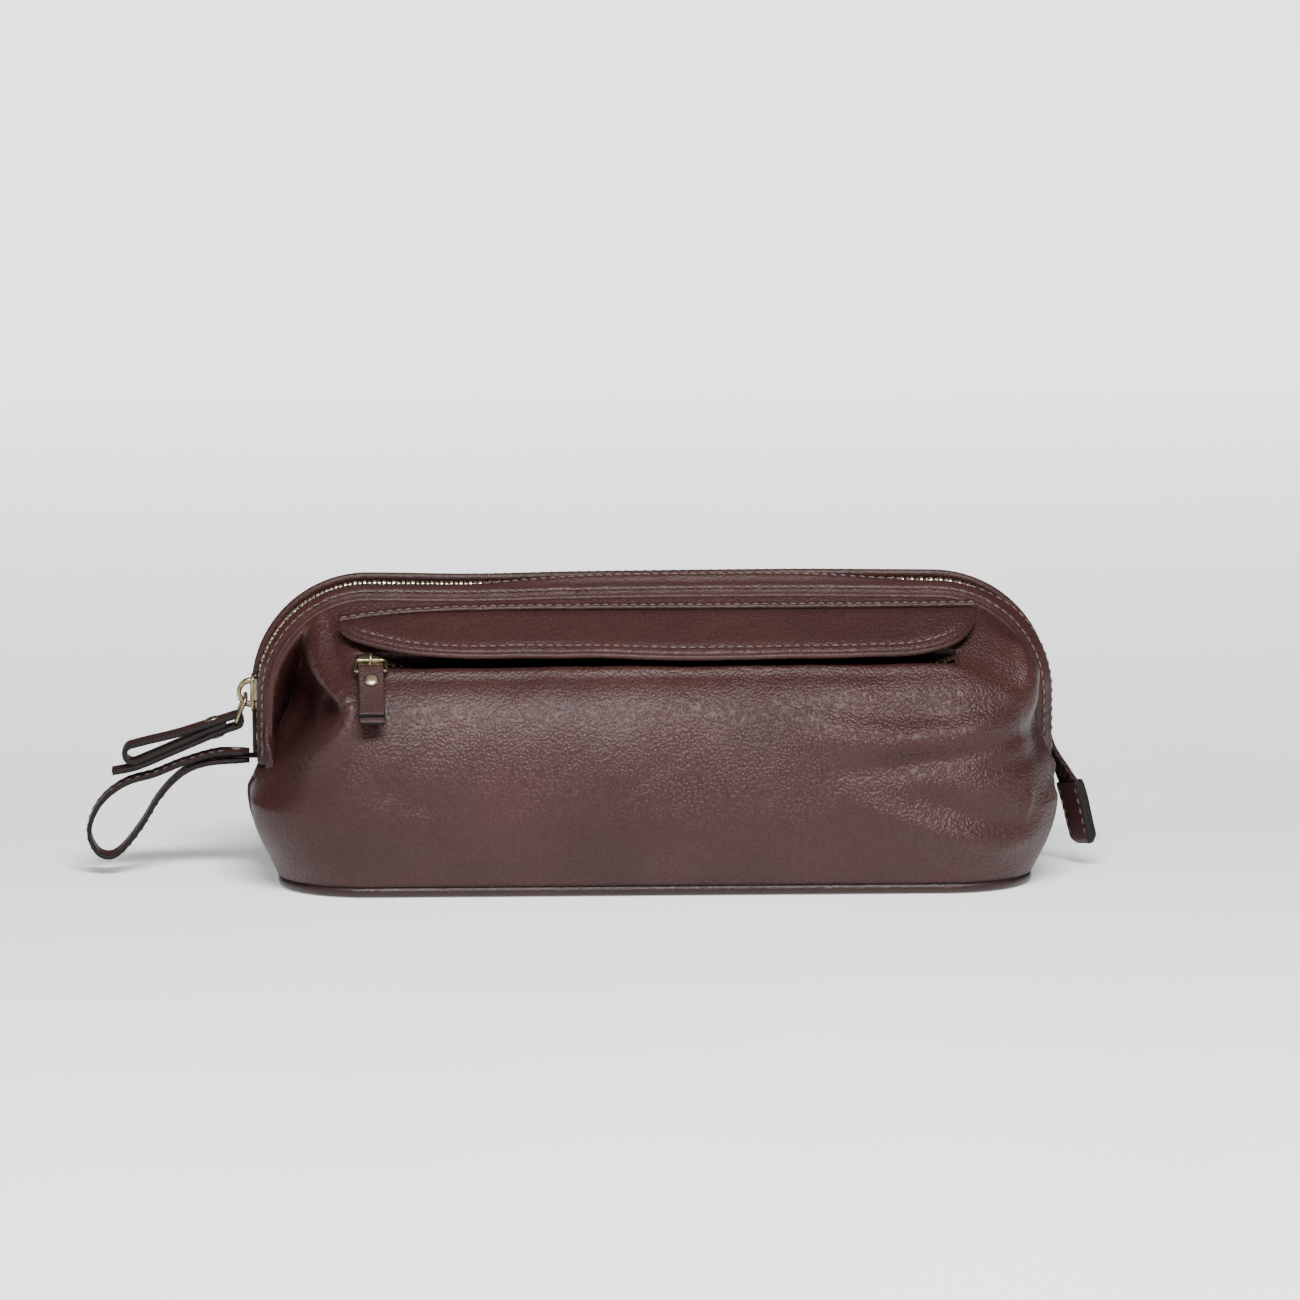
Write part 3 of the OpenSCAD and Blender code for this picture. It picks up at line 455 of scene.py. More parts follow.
def card(name):
    """Pressed card."""
    m = Nodes(name, Roughness=0.9)
    pulp = m.noise(700, 4.0, 0.7)
    m.set("Base Color", m.ramp(pulp, (0.3, (0.16, 0.12, 0.08)), (0.7, (0.26, 0.2, 0.14))))
    m.set("Normal", m.bump(pulp, 0.3, 0.0002))
    return m.material


BROWN_DARK, BROWN_LIGHT = (0.031, 0.0098, 0.0084), (0.046, 0.0156, 0.0136)
BODY = leather("leather_body", BROWN_DARK, BROWN_LIGHT, 0.00100, 0.42, 0.9)
TRIM = leather("leather_trim", (0.029, 0.0095, 0.0083), (0.044, 0.0152, 0.0134), 0.0008, 0.42, 0.4)
EDGE = edge_paint("painted_edge")
PIPE = leather("leather_piping", (0.018, 0.0076, 0.0068), (0.032, 0.0134, 0.0120), 0.0006, 0.30, 0.3)
TAPE = woven("zip_tape", (0.010, 0.006, 0.006), (0.036, 0.020, 0.018), 0.0009)
TAIL = woven("tail_weave", (0.014, 0.008, 0.008), (0.060, 0.034, 0.031), 0.0012, turn=(0, 0.4, 0))
CLOTH = woven("lining_twill", (0.030, 0.020, 0.016), (0.075, 0.055, 0.045), 0.0008)
THREAD = thread("thread_brown", (0.045, 0.027, 0.024), (0.14, 0.095, 0.088))
BRASS = metal("antique_brass", (0.13, 0.10, 0.06), (0.46, 0.38, 0.24), 0.30)
# Near-black brass for the pocket's teeth and stops: painted shade, so that they sink into the shadow under the
# flap
SHADE_DARK_BRASS = metal("brass_darkened_as_shade", (0.035, 0.027, 0.016), (0.12, 0.095, 0.055), 0.4)
TEETH = metal("tooth_brass", (0.22, 0.17, 0.10), (0.66, 0.55, 0.36), 0.26, 0.7)
STEEL = metal("spring_steel", (0.045, 0.045, 0.050), (0.11, 0.11, 0.12), 0.42)
BOARD = card("base_board_card")


def paint(node, material):
    """Gives a carried-over CAD node its finish."""
    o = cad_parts[node]
    o.data.materials.clear()
    o.data.materials.append(material)
    for p in o.data.polygons:
        p.material_index = 0


# ---------------------------------------------------------------- camera and light

CAMERA_AZIMUTH, CAMERA_ELEVATION, CAMERA_DISTANCE = math.radians(-2.7), math.radians(8), 3.2
FRAME_WIDTH = 0.4335
AIM = Vector((-0.0006, 0.0, 0.0738))


def make_camera():
    """The photograph's view: from slightly above and a little to the left, with a long lens."""
    data = bpy.data.cameras.new("camera")
    cam = bpy.data.objects.new("camera", data)
    bpy.context.collection.objects.link(cam)
    back = Vector((math.sin(CAMERA_AZIMUTH) * math.cos(CAMERA_ELEVATION),
                   -math.cos(CAMERA_AZIMUTH) * math.cos(CAMERA_ELEVATION), math.sin(CAMERA_ELEVATION)))
    cam.location = AIM + back * CAMERA_DISTANCE
    cam.rotation_euler = (-back).to_track_quat("-Z", "Y").to_euler()
    data.sensor_width = 36
    data.lens = 36 * CAMERA_DISTANCE / FRAME_WIDTH
    data.clip_start, data.clip_end = 0.1, 30
    data.dof.use_dof = False
    bpy.context.scene.camera = cam


LIT_POINT = Vector((0, 0, 0.05))
# Each soft light: name, place, width and height in metres, and power in watts
LIGHTS = [("key", (0.05, -1.08, 1.22), 0.9, 0.34, 54), ("front", (0.0, -1.7, 0.5), 1.2, 0.5, 2),
          ("top", (0.1, 0.3, 1.5), 1.4, 0.6, 2), ("left", (-1.4, -0.7, 0.6), 0.4, 0.7, 4),
          ("right", (1.4, -0.7, 0.6), 0.4, 0.7, 3)]


def area_light(name, place, width, height, power):
    data = bpy.data.lights.new(name, "AREA")
    data.shape, data.size, data.size_y, data.energy = "RECTANGLE", width, height, power
    o = bpy.data.objects.new(name, data)
    bpy.context.collection.objects.link(o)
    o.location = place
    o.rotation_euler = (LIT_POINT - Vector(place)).to_track_quat("-Z", "Y").to_euler()


def make_studio():
    """A dim white world, the lights, and a pale floor that glows more towards the far side."""
    world = bpy.data.worlds.new("world")
    bpy.context.scene.world = world
    world.use_nodes = True
    world.node_tree.nodes["Background"].inputs["Color"].default_value = (1, 1, 1, 1)
    world.node_tree.nodes["Background"].inputs["Strength"].default_value = 0.04
    for light in LIGHTS:
        area_light(*light)
    bpy.ops.mesh.primitive_plane_add(size=14, location=(0, 0, -0.0002))
    floor = bpy.context.object
    floor.name = "floor"
    m = Nodes("floor_paper", Roughness=0.75, Specular_IOR_Level=0.2)
    m.shader.inputs["Emission Color"].default_value = (1, 1, 1, 1)
    depth = m.node("SeparateXYZ", {0: m.place}).outputs[1]
    m.set("Emission Strength", m.range(depth, 0.1, 1.6, 0.35, 2.6))
    soft = m.noise(6, 2.0)
    m.set("Base Color", m.ramp(soft, (0.3, (0.90, 0.90, 0.90)), (0.7, (0.94, 0.94, 0.94))))
    floor.data.materials.append(m.material)


# ---------------------------------------------------------------- the zip's line


def along(s, extra=0.0):
    """Points on the zip's line, s in mm from the left leg's foot at the pivot, with `extra` outward.
    Returns x, z, and the outward direction's x and z."""
    leg = CORNER_Z - PIVOT_Z
    arc = ZIP_R * math.pi / 2
    s = np.asarray(s, float)
    total = 2 * (leg + arc + CORNER_X)
    m = np.minimum(s, total - s)
    ang = np.clip((m - leg) / ZIP_R, 0, math.pi / 2)
    on_top = np.clip(m - leg - arc, 0, None)
    on_leg = np.clip(m, None, leg)
    ox, oz = -np.cos(ang), np.sin(ang)
    sag = table_curve(s - total / 2, SAG)
    r = ZIP_R + extra + sag
    x = -CORNER_X + on_top + ox * r
    z = CORNER_Z + (on_leg - leg) + oz * r
    right = s > total / 2
    return np.where(right, -x, x), z, np.where(right, -ox, ox), oz


# How far the zip's line stands off the even curve: (distance from the top's middle, mm outward)
SAG = [(-190, 0), (-150, 0.1), (-112, 0.0), (-92, -0.1), (-60, -0.5), (-25, 0.2), (10, 0.5), (50, 0.5),
       (85, 0.0), (112, -0.4), (150, 0), (190, 0)]
# How far the front band's inner edge stands above (+) or below the even slope
FRONT_EDGE = [(-190, -2.6), (-150, -3.6), (-112, -3.6), (-85, -3.4), (-62, -2.2), (-40, 0.2), (-15, 2.0),
              (20, 2.2), (50, 1.6), (72, -0.4), (92, -2.2), (112, -1.6), (130, 0.0), (190, 0.0)]
BACK_EDGE = [(-190, -0.5), (-130, 0.4), (-90, 0.6), (-40, 0.2), (0, 0.0), (60, 0.3), (110, 0.5), (190, 0.0)]
ZIP_TOTAL = 2 * (CORNER_Z - PIVOT_Z + ZIP_R * math.pi / 2 + CORNER_X)


def band_point(w, t):
    """(outward, depth) beside the zip's line, w down the band and t off its middle plane."""
    return (BAND_ORIGIN[0] - w * math.sin(BAND_SLOPE) + t * math.cos(BAND_SLOPE),
            BAND_ORIGIN[1] - w * math.cos(BAND_SLOPE) - t * math.sin(BAND_SLOPE))


PANEL_EDGE = band_point(BAND_WIDTH + 0.3, 0.0)
SHOULDER_TOP = (PANEL_EDGE[1], ZIP_Z + PANEL_EDGE[0])


# ---------------------------------------------------------------- the leather shells


# u runs from the middle of the left end (0) round the front to the middle of the right end (1).
# A rounded corner takes up the stretch from U_BEND, or U_ARC at the mouth, to U_FRONT.
# Below U_LEG the mouth's edge runs behind the band's foot.
U_LEG, U_BEND, U_ARC, U_FRONT = 0.05, 0.10, 0.14, 0.26


def plan(a, b, r, u):
    """Half of a rounded rectangle, a by b from the middle with corners of radius r."""
    m = np.minimum(u, 1 - u)
    straight = m / U_BEND
    t = np.clip((m - U_BEND) / (U_FRONT - U_BEND), 0, 1) * math.pi / 2
    front = np.clip((0.5 - m) / (0.5 - U_FRONT), 0, 1)
    x = np.where(m <= U_FRONT, -(a - r) - r * np.cos(t), -(a - r) * front)
    y = np.where(m <= U_FRONT, -(b - r) - r * np.sin(t), -b)
    x, y = np.where(m <= U_BEND, -a, x), np.where(m <= U_BEND, -(b - r) * straight, y)
    return np.where(u > 0.5, -x, x), y


def wall_ring(z, u):
    """The lower wall's outline at the height z."""
    s = np.sin(math.pi / 2 * np.clip((z - PANEL_BOTTOM) / (BULGE_Z - PANEL_BOTTOM), 0, 1))
    length, depth = BASE_HALF_LENGTH + END_BULGE * s, BASE_HALF_DEPTH + SIDE_BULGE * s
    return plan(length, depth, BASE_CORNER + END_BULGE * s, u)


def mouth(u):
    """The panel's upper edge under the band."""
    m = np.minimum(u, 1 - u)
    o, d = PANEL_EDGE
    foot, corner = PIVOT_Z - 4, U_FRONT - U_ARC
    tongue = np.clip(m / U_LEG, 0, 1)
    leg = np.clip((m - U_LEG) / (U_ARC - U_LEG), 0, 1)
    t = np.clip((m - U_ARC) / corner, 0, 1) * math.pi / 2
    top = np.clip((0.5 - m) / (0.5 - U_FRONT), 0, 1)
    r = ZIP_R + o
    x = np.where(m <= U_FRONT, -CORNER_X - r * np.cos(t), -CORNER_X * top)
    x = np.where(m <= U_ARC, -(HALF_PATH + o), x)
    z = np.where(m <= U_FRONT, CORNER_Z + r * np.sin(t), ZIP_Z + o)
    z = np.where(m <= U_ARC, mix(foot, CORNER_Z, leg), z)
    z = np.where(m <= U_LEG, mix(foot - 2.5, foot, tongue), z)
    round_corner = CORNER_X + (U_FRONT - m) / corner * ZIP_R * math.pi / 2
    from_top = np.where(m <= U_FRONT, round_corner, CORNER_X * top)
    sag = table_curve(np.where(u > 0.5, from_top, -from_top), SAG)
    z = z + sag * smooth((m - U_ARC) / corner)
    x = x - sag * smooth((U_FRONT - m) / corner) * (m > U_LEG)
    return np.where(u > 0.5, -x, x), d * tongue, z


# v runs from the wall's bottom (-1) past the bulge (0) and the crease (0.5) to the band (1).
RISE = SHOULDER_TOP[1] - BULGE_Z
RUN = BASE_HALF_DEPTH + SIDE_BULGE + SHOULDER_TOP[0]
CREASE_IN = 1 - SHOULDER_LENGTH * math.cos(SHOULDER) / RUN
CREASE_UP = 1 - SHOULDER_LENGTH * math.sin(SHOULDER) / RISE
BEND_UP = CREASE_UP - CREASE_IN * (1 - CREASE_UP) / (1 - CREASE_IN)


def shares(v):
    """How far v has come from the bulge to the band, inwards and upwards, as shares of the whole."""
    t = np.clip(v / 0.5, 0, 1)
    w = np.clip((v - 0.5) / 0.5, 0, None)
    inward = np.where(v < 0.5, CREASE_IN * t * t, mix(CREASE_IN, 1, w))
    upward = np.where(v < 0.5, 2 * t * (1 - t) * BEND_UP + t * t * CREASE_UP, mix(CREASE_UP, 1, w))
    return inward, upward


def left_tuck(u, v):
    """The deep fold between the left end's band and the front: mm towards the middle."""
    lift = 4 * v * (1 - v)
    return 15 * bell((u - 0.15) / 0.055) * lift


def right_tuck(u, v):
    """The same at the right end, shallower."""
    lift = 4 * v * (1 - v)
    return 6 * bell((1 - u - 0.14) / 0.05) * lift


# The front fold at the left end: (height, x) down its edge
FOLD_EDGE = [(96, -116), (90, -114.5), (84.5, -113.6), (76, -114.4), (70, -112), (66, -107), (62, -104),
             (57, -107.5), (48.5, -115.5), (40, -122.5), (33, -129), (24, -136)]


def left_valley(x, z, u, v):
    """How far the leather between the left fold and the band sinks inwards, in mm."""
    inside = smooth((table_curve(z, FOLD_EDGE) - x + 0.6) / 3.2)
    depth = 12 + 13 * bell((z - 57) / 15)
    fade = smooth((1 - v) / 0.16) * smooth((v - 0.12) / 0.3) * smooth((u - 0.035) / 0.06)
    return depth * inside * fade * (u < 0.4)


def right_bulge(u, v):
    """Two lobes of leather that stand in front of the right end's band: mm to the right."""
    upper = 6.0 * bell((1 - u - 0.185) / 0.034) * smooth((1 - v) / 0.16) * smooth((v - 0.35) / 0.4)
    lower = 3.0 * bell((1 - u - 0.085) / 0.035) * smooth((1 - v) / 0.2) * smooth((v - 0.1) / 0.4)
    return upper + lower


def skin(u, v, folds=True, back=False):
    """The outer face of the front leather (the back one before it is mirrored)."""
    low = v <= 0
    z_low = mix(PANEL_BOTTOM, BULGE_Z, np.clip(v + 1, 0, 1))
    xl, yl = wall_ring(z_low, u)
    x0, y0 = wall_ring(np.full_like(u, BULGE_Z), u)
    x1, y1, z1 = mouth(u)
    h, g = shares(np.clip(v, 0, None))
    x = mix(x0, x1, h)
    y = mix(y0, y1, h)
    z = mix(np.full_like(u, BULGE_Z), z1, g)
    vc = np.clip(v, 0, 1)
    if folds:
        x = x + left_tuck(u, vc) - right_tuck(u, vc) + right_bulge(u, vc) * (0.2 if back else 1.0)
        y = y - right_bulge(u, vc) * (0.4 if back else 1.25)
        if not back:
            y = y + left_valley(x, z, u, vc)
    return np.stack([np.where(low, xl, x), np.where(low, yl, y), np.where(low, z_low, z)], -1)


# Folds pressed into the leather: points (x, z) on the front, depth (+ is a ridge) and width, in mm
FRONT_FOLDS = [
    ([(50, 53), (75, 51.5), (92, 52.5), (109, 56), (121, 58.5)], 2.2, 5.5),
    ([(52, 63), (75, 60.5), (95, 60), (110, 62)], -1.7, 4.2),
    ([(80, 72), (99, 71), (112, 66), (122, 60)], 1.5, 4.0),
    ([(62, 41), (85, 44.5), (97, 46), (110, 49.5), (121, 52)], -2.2, 4.0),
    ([(104, 42), (116, 43), (125, 44)], -1.5, 3.5),
    ([(66, 31), (78, 26), (95, 20), (110, 17), (122, 18)], 2.2, 4.2),
    ([(86, 33), (100, 27.5), (112, 24), (122, 23.5)], -2.0, 4.2),
    ([(122.5, 34), (122, 29), (120.5, 24)], 1.1, 1.7),
    ([(120, 80), (121.5, 75), (122, 69)], 1.3, 1.8),
    ([(-112, 92), (-111, 84), (-111.6, 76), (-109, 70), (-102.5, 65), (-101.5, 60), (-105, 54), (-112, 47),
      (-120, 39)], 1.5, 2.4),
    ([(-108, 88), (-106, 78), (-104, 72)], -1.0, 2.6),
    ([(-96, 58), (-98, 50), (-106, 42), (-114, 35)], -1.2, 4.0),
    ([(-96, 40), (-86, 34), (-70, 31)], -0.8, 6.0),
    ([(-112, 20), (-98, 15), (-78, 14)], -0.7, 6.0),
]
BACK_FOLDS = [
    ([(118, 52), (98, 46), (76, 44)], 1.4, 5.0),
    ([(-118, 52), (-98, 47), (-74, 42)], 1.4, 5.0),
    ([(-114, 42), (-98, 36), (-84, 32)], -1.6, 5.0),
    ([(112, 60), (96, 58), (80, 62)], -1.2, 4.0),
]


def fold_height(P, folds):
    """How far the folds lift the leather off its face, in mm, at each of its points."""
    total = np.zeros(P.shape[:2])
    flat = P[..., [0, 2]].reshape(-1, 2)
    for points, depth, width in folds:
        c = curve_through(points, 24)
        best = np.full(len(flat), 1e9)
        end = np.zeros(len(flat))
        for i, q in enumerate(c):
            d = np.linalg.norm(flat - q, axis=1)
            closer = d < best
            best = np.where(closer, d, best)
            end = np.where(closer, i / (len(c) - 1), end)
        fade = np.sin(math.pi * np.clip(0.08 + 0.84 * end, 0, 1)) ** 0.7
        total += (depth * fade * bell(best / width)).reshape(P.shape[:2])
    return total


# The front shoulder's directions: down its slope, and off its face
ON_SHOULDER = (np.array([0, -math.cos(SHOULDER), -math.sin(SHOULDER)]),
               np.array([0, -math.sin(SHOULDER), math.cos(SHOULDER)]))


def on_shoulder(x, drop, height):
    """A point on the front shoulder: down its slope from the band, and off its face."""
    x, drop, height = np.broadcast_arrays(x, drop, height)
    base = np.stack([x, np.full(x.shape, SHOULDER_TOP[0]), np.full(x.shape, SHOULDER_TOP[1])], -1)
    return base + drop[..., None] * ON_SHOULDER[0] + height[..., None] * ON_SHOULDER[1]


def pocket_relief(P, V):
    """The pocket's sunk slit and the rolled lip below it, in mm off the leather's face."""
    drop = (1 - V) * 2 * SHOULDER_LENGTH
    off_middle = np.abs(P[..., 0])
    inside = smooth((SLIT / 2 + 0.3 - np.abs(drop - POCKET_DROP)) / 0.6)
    inside = inside * smooth((POCKET_HALF + 0.4 - off_middle) / 0.8) * (drop < SHOULDER_LENGTH)
    lip = bell((drop - POCKET_DROP - SLIT / 2 - 2.2) / 2.2) * smooth((POCKET_HALF + 6 - off_middle) / 12)
    return 0.9 * lip - 3.6 * inside


def shell_grid(back, columns):
    """The outer face of the front or back leather, with its folds."""
    u = np.linspace(0, 1, columns)
    slit_edges = POCKET_DROP + np.array([-SLIT / 2 - 0.3, -SLIT / 2 + 0.3, SLIT / 2 - 0.3, SLIT / 2 + 0.3])
    v = np.concatenate([np.linspace(-1, 0, 26)[:-1], np.linspace(0, 0.5, 62)[:-1], np.linspace(0.5, 1.0, 76),
                        1 - slit_edges / SHOULDER_LENGTH / 2])
    v = np.unique(np.round(v, 5))
    U, V = np.meshgrid(u, v, indexing="ij")
    P = skin(U, V, True, back)
    N = normals_of(P)
    m = np.minimum(U, 1 - U)
    x, z = P[..., 0], P[..., 2]
    uneven = 0.35 * wobble(x + 0.8 * z, 3 + back, 46) + 0.22 * wobble(x - 1.3 * z, 5 + back, 23)
    height = fold_height(P, BACK_FOLDS if back else FRONT_FOLDS)
    height += uneven * smooth((V + 1) / 0.3) * smooth((0.95 - V) / 0.3)
    P = P + N * (height * smooth(m / 0.03))[..., None]
    if not back:
        P = P + N * pocket_relief(P, V)[..., None]
    # the bottom edge turns under towards the piping, and the top edge runs on below the band
    under = P[:, :1] * np.array([0.992, 0.985, 1]) - np.array([0, 0, 0.4])
    top = P[:, -1:]
    step = P[:, -1:] - P[:, -2:-1]
    step = step / np.maximum(np.linalg.norm(step, axis=2, keepdims=True), 1e-6)
    sink = N[:, -1:] * 0.5
    below = [top + step * k - sink for k in (1.2, 2.4)]
    return np.concatenate([under, P] + below, axis=1)


def make_shells():
    front = shell_grid(False, 420)
    back = shell_grid(True, 300) * np.array([1, -1, 1])
    for name, grid, side, nodes in (("front_leather", front, 1, "front"), ("back_leather", back, -1, "back")):
        o = thick_sheet(name, grid, 1.5, BODY, side)
        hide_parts(nodes + "_panel_lower", nodes + "_panel_crease", nodes + "_panel_upper")
        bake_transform(o)


# ---------------------------------------------------------------- linings and the pocket's pouch


def inset_grid(u, v, depth, back=False):
    """A layer under the skin. Its direction leaves the tucks out, so that it doesn't fold over itself."""
    U, V = np.meshgrid(u, v, indexing="ij")
    P = skin(U, V, True, back)
    N = normals_of(skin(U, V, False))
    wave = 0.5 * wobble(P[..., 0] + P[..., 2], 11, 30) + 0.3 * wobble(P[..., 0] - P[..., 2], 12, 13)
    return P - N * (depth + 0.4 + wave[..., None] * 0.5)


def make_linings():
    flip = np.array([1, -1, 1])
    u_top, u_tub = np.linspace(0.13, 0.87, 120), np.linspace(0.01, 0.99, 160)
    v_top, v_tub = np.linspace(-0.70, 0.88, 56), np.linspace(-0.95, -0.70, 8)
    for side, turn in (("front", np.ones(3)), ("back", flip)):
        grid = inset_grid(u_top, v_top, 7.2, side == "back") * turn
        o = thick_sheet("lining_cloth_" + side, grid, 0.6, CLOTH)
        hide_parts("lining_" + side)
        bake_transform(o)
        grid = inset_grid(u_tub, v_tub, 7.2, side == "back") * turn
        tub = thick_sheet("lining_tub_" + side, grid, 0.6, CLOTH)
        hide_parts("lining_tub")
        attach(tub, "bag")
    grid = inset_grid(np.linspace(0.25, 0.75, 60), np.linspace(-0.1, 0.7, 30), 5.4)
    pouch = thick_sheet("pouch_cloth", grid, 0.7, CLOTH)
    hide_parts("pocket_pouch")
    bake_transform(pouch)


# ---------------------------------------------------------------- base


def base_slab(name, z0, z1, grow, round_r, material, u_count=260):
    """A rounded slab with the base's outline."""
    u = np.linspace(0, 1, u_count)
    x, y = plan(BASE_HALF_LENGTH + grow, BASE_HALF_DEPTH + grow, BASE_CORNER + grow, u)
    outline = np.concatenate([np.stack([x, y], 1), np.stack([x[::-1], -y[::-1]], 1)[1:-1]])
    reach = np.abs(outline).max(0)
    steps = (0.0, 0.5, 0.9)
    rows = [(k, z0) for k in steps]
    for k in np.linspace(0, math.pi, 7):
        rows.append((1 + round_r * (math.sin(k) - 1) / reach, (z0 + z1) / 2 - (z1 - z0) / 2 * math.cos(k)))
    rows += [(k, z1) for k in steps[::-1]]
    P = np.array([np.column_stack([outline * scale, np.full(len(outline), z)]) for scale, z in rows])
    o = add_object(name, P.reshape(-1, 3), grid_faces(len(P), len(outline), wrap_v=True), material)
    bm = bmesh.new()
    bm.from_mesh(o.data)
    bmesh.ops.remove_doubles(bm, verts=bm.verts, dist=1e-6)
    bm.to_mesh(o.data)
    bm.free()
    return o


def outline_path(grow, z, count=500):
    """The base's outline at the height z, `grow` mm larger all round."""
    u = np.linspace(0, 1, count // 2)
    x, y = plan(BASE_HALF_LENGTH + grow, BASE_HALF_DEPTH + grow, BASE_CORNER + grow, u)
    front = np.stack([x, y, np.full_like(x, z)], 1)
    back = np.stack([x[::-1], -y[::-1], np.full_like(x, z)], 1)
    return np.vstack([front, back[1:]])


def make_base():
    panel = base_slab("base_leather", 0, 2.0, -3.7, 0.7, BODY)
    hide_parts("base_panel")
    lining = base_slab("base_cloth", 3.95, 4.6, -8.8, 0.3, CLOTH)
    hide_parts("base_lining")
    piping = round_tube("base_piping_cord", outline_path(-1.8, 1.8), 1.8, PIPE, 16)
    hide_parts("base_piping")
    # a black cord in the groove between the piping and the wall: painted shade for that groove
    groove_shade_cord = round_tube("base_piping_groove_shade", outline_path(-1.3, 3.5), 0.9, EDGE, 8)
    rows = outline_path(-7.0, -0.02)
    up = np.tile([0.0, 0, -1], (len(rows), 1))
    sewn = stitches("base_stitches", rows, up, THREAD, 3.4, 2.5, 0.3, sink=0.32)
    for o, s in ((panel, "leather"), (lining, "lining"), (piping, "edge_leather"), (groove_shade_cord, "edge_leather"),
                 (sewn, "thread")):
        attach(o, "bag")


def make_end_welts():
    for side, name in ((-1, "left_end_welt"), (1, "right_end_welt")):
        v = np.linspace(-0.9, 0.42, 60)
        P = skin(np.full_like(v, 0.0005), v)
        path = np.stack([side * (np.abs(P[:, 0]) + 0.15), 0 * v, P[:, 2]], 1)
        o = round_tube(name + "_cord", path, 0.95 + 0 * v, PIPE, 10, (0, 1, 0))
        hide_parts(name)
        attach(o, "bag")


# ---------------------------------------------------------------- the bands beside the zip

BAND_FOOT, BAND_STEPS = -2.2, 620
# The band's two rows of stitches, in mm down from the zip
INNER_ROW, OUTER_ROW = 2.0, 7.4


def band_lift(s, w, side):
    """How far the band's inner edge stands off its even slope, fading out across the band."""
    lift = table_curve(s - ZIP_TOTAL / 2, FRONT_EDGE if side == 1 else BACK_EDGE)
    raised = smooth((lift + 3.0) / 4.0) * (side == 1)
    fade = np.clip(1 - w / 4.8, 0, 1) ** 1.45
    return (lift + 1.3 * raised) * fade - 0.26 * np.clip(3.2 - w, 0, None) ** 2 * raised


def band_place(s, w, t, side):
    s, w, t = np.broadcast_arrays(np.asarray(s, float), np.asarray(w, float), np.asarray(t, float))
    o, d = band_point(w, t)
    o = o + band_lift(s, w, side)
    x, z, ox, oz = along(s)
    return np.stack([x + ox * o, side * d, z + oz * o], -1)


def band_loop(s, side):
    """Rounded section of the folded band at each s: a fold at the zip, a stitched hem below."""
    half, fold, hem = 1.6, 1.4, 10.2
    face = np.linspace(fold, hem, 24)
    w = np.concatenate([face, [10.8, 11.0, 10.8], np.linspace(hem, fold, 12), [0.5, 0.0, 0.5]])
    grooves = bell((face - INNER_ROW) / 0.45) + bell((face - OUTER_ROW) / 0.45)
    top = half - smooth((face - 6.4) / 3.6) - 0.26 * grooves
    t = np.concatenate([top, [0.3, -0.4, -1.2], np.full(12, -half), [-1.1, 0, 1.1]])
    S, W = np.meshgrid(s, w, indexing="ij")
    T = np.broadcast_to(t, S.shape).copy()
    at = S[:, :24]
    puff = 0.18 * wobble(at + 3 * side, 21 + side, 9) * np.sin((face - fold) / (hem - fold) * math.pi)
    legs = smooth((CORNER_Z - PIVOT_Z + 10 - np.minimum(s, ZIP_TOTAL - s)) / 12)[:, None]
    creases = 0.35 * legs * np.maximum(0, wobble(at, 25, 4.2)) * bell((face - 5.6) / 2.6)
    T[:, :24] += puff + creases
    return band_place(S, W, T, side)


def make_band(side, name, node):
    s = np.linspace(BAND_FOOT, ZIP_TOTAL - BAND_FOOT, BAND_STEPS)
    P = band_loop(s, side)
    # rounded feet
    for foot in (P[:3], P[:-4:-1]):
        centre = foot[0].mean(0)
        for k, f in enumerate((0.72, 0.9, 0.97)):
            foot[k] = centre + (foot[k] - centre) * f
    o = loft(name, P, TRIM)
    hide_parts(node)
    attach(o, node.replace("_band", "_mouth"))
    s = np.linspace(BAND_FOOT + 2.5, ZIP_TOTAL - BAND_FOOT - 2.5, 800)
    for row, w, height in (("inner", INNER_ROW, 1.42), ("outer", OUTER_ROW, 1.26)):
        path = band_place(s, w, height, side)
        up = band_place(s, w, 3.0, side) - path
        sewn = stitches(name + "_stitches_" + row, path, up, THREAD, 3.1, 2.3, 0.33, 0.02, 0.12 * side)
        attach(sewn, node.replace("_band", "_mouth"))


def tape_loop(s, side):
    """The woven tape: a rounded edge under the teeth, then down below the band."""
    below_band = (0.8, 3.0, 6.5, 8.4)
    under_teeth = [(0.0, -1.7), (0.0, -3.4), (0.0, -4.9)]
    line = np.array(under_teeth + [band_point(w, -2.05) for w in below_band])
    drop = np.stack([band_lift(s, w, side) for w in (9, 9, 9) + below_band], 1)
    drop = np.minimum(drop, 0.3)
    d = unit(np.gradient(line, axis=0))
    n = np.stack([d[:, 1], -d[:, 0]], 1) * -0.3
    loop = np.vstack([line + n, (line - n)[::-1]])
    shift = np.concatenate([drop, drop[:, ::-1]], 1)
    x, z, ox, oz = along(s)
    o = loop[None, :, 0] + shift
    y = np.broadcast_to(side * loop[None, :, 1], o.shape)
    return np.stack([x[:, None] + ox[:, None] * o, y, z[:, None] + oz[:, None] * o], -1)


def make_tape(side, name, node):
    s = np.linspace(1.0, ZIP_TOTAL - 1.0, 420)
    o = loft(name, tape_loop(s, side), TAPE)
    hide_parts(node)
    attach(o, node.replace("_zip_tape", "_mouth"))
    s = np.linspace(2, ZIP_TOTAL - 2, 700)
    path = tape_loop(s, side)[:, 1]
    ox, oz = along(s)[2:]
    up = np.stack([ox, 0 * ox, oz], 1)
    sewn = stitches(name + "_stitches", path + up * 0.3, up, THREAD, 1.6, 1.2, 0.2)
    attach(sewn, node.replace("_zip_tape", "_mouth"))


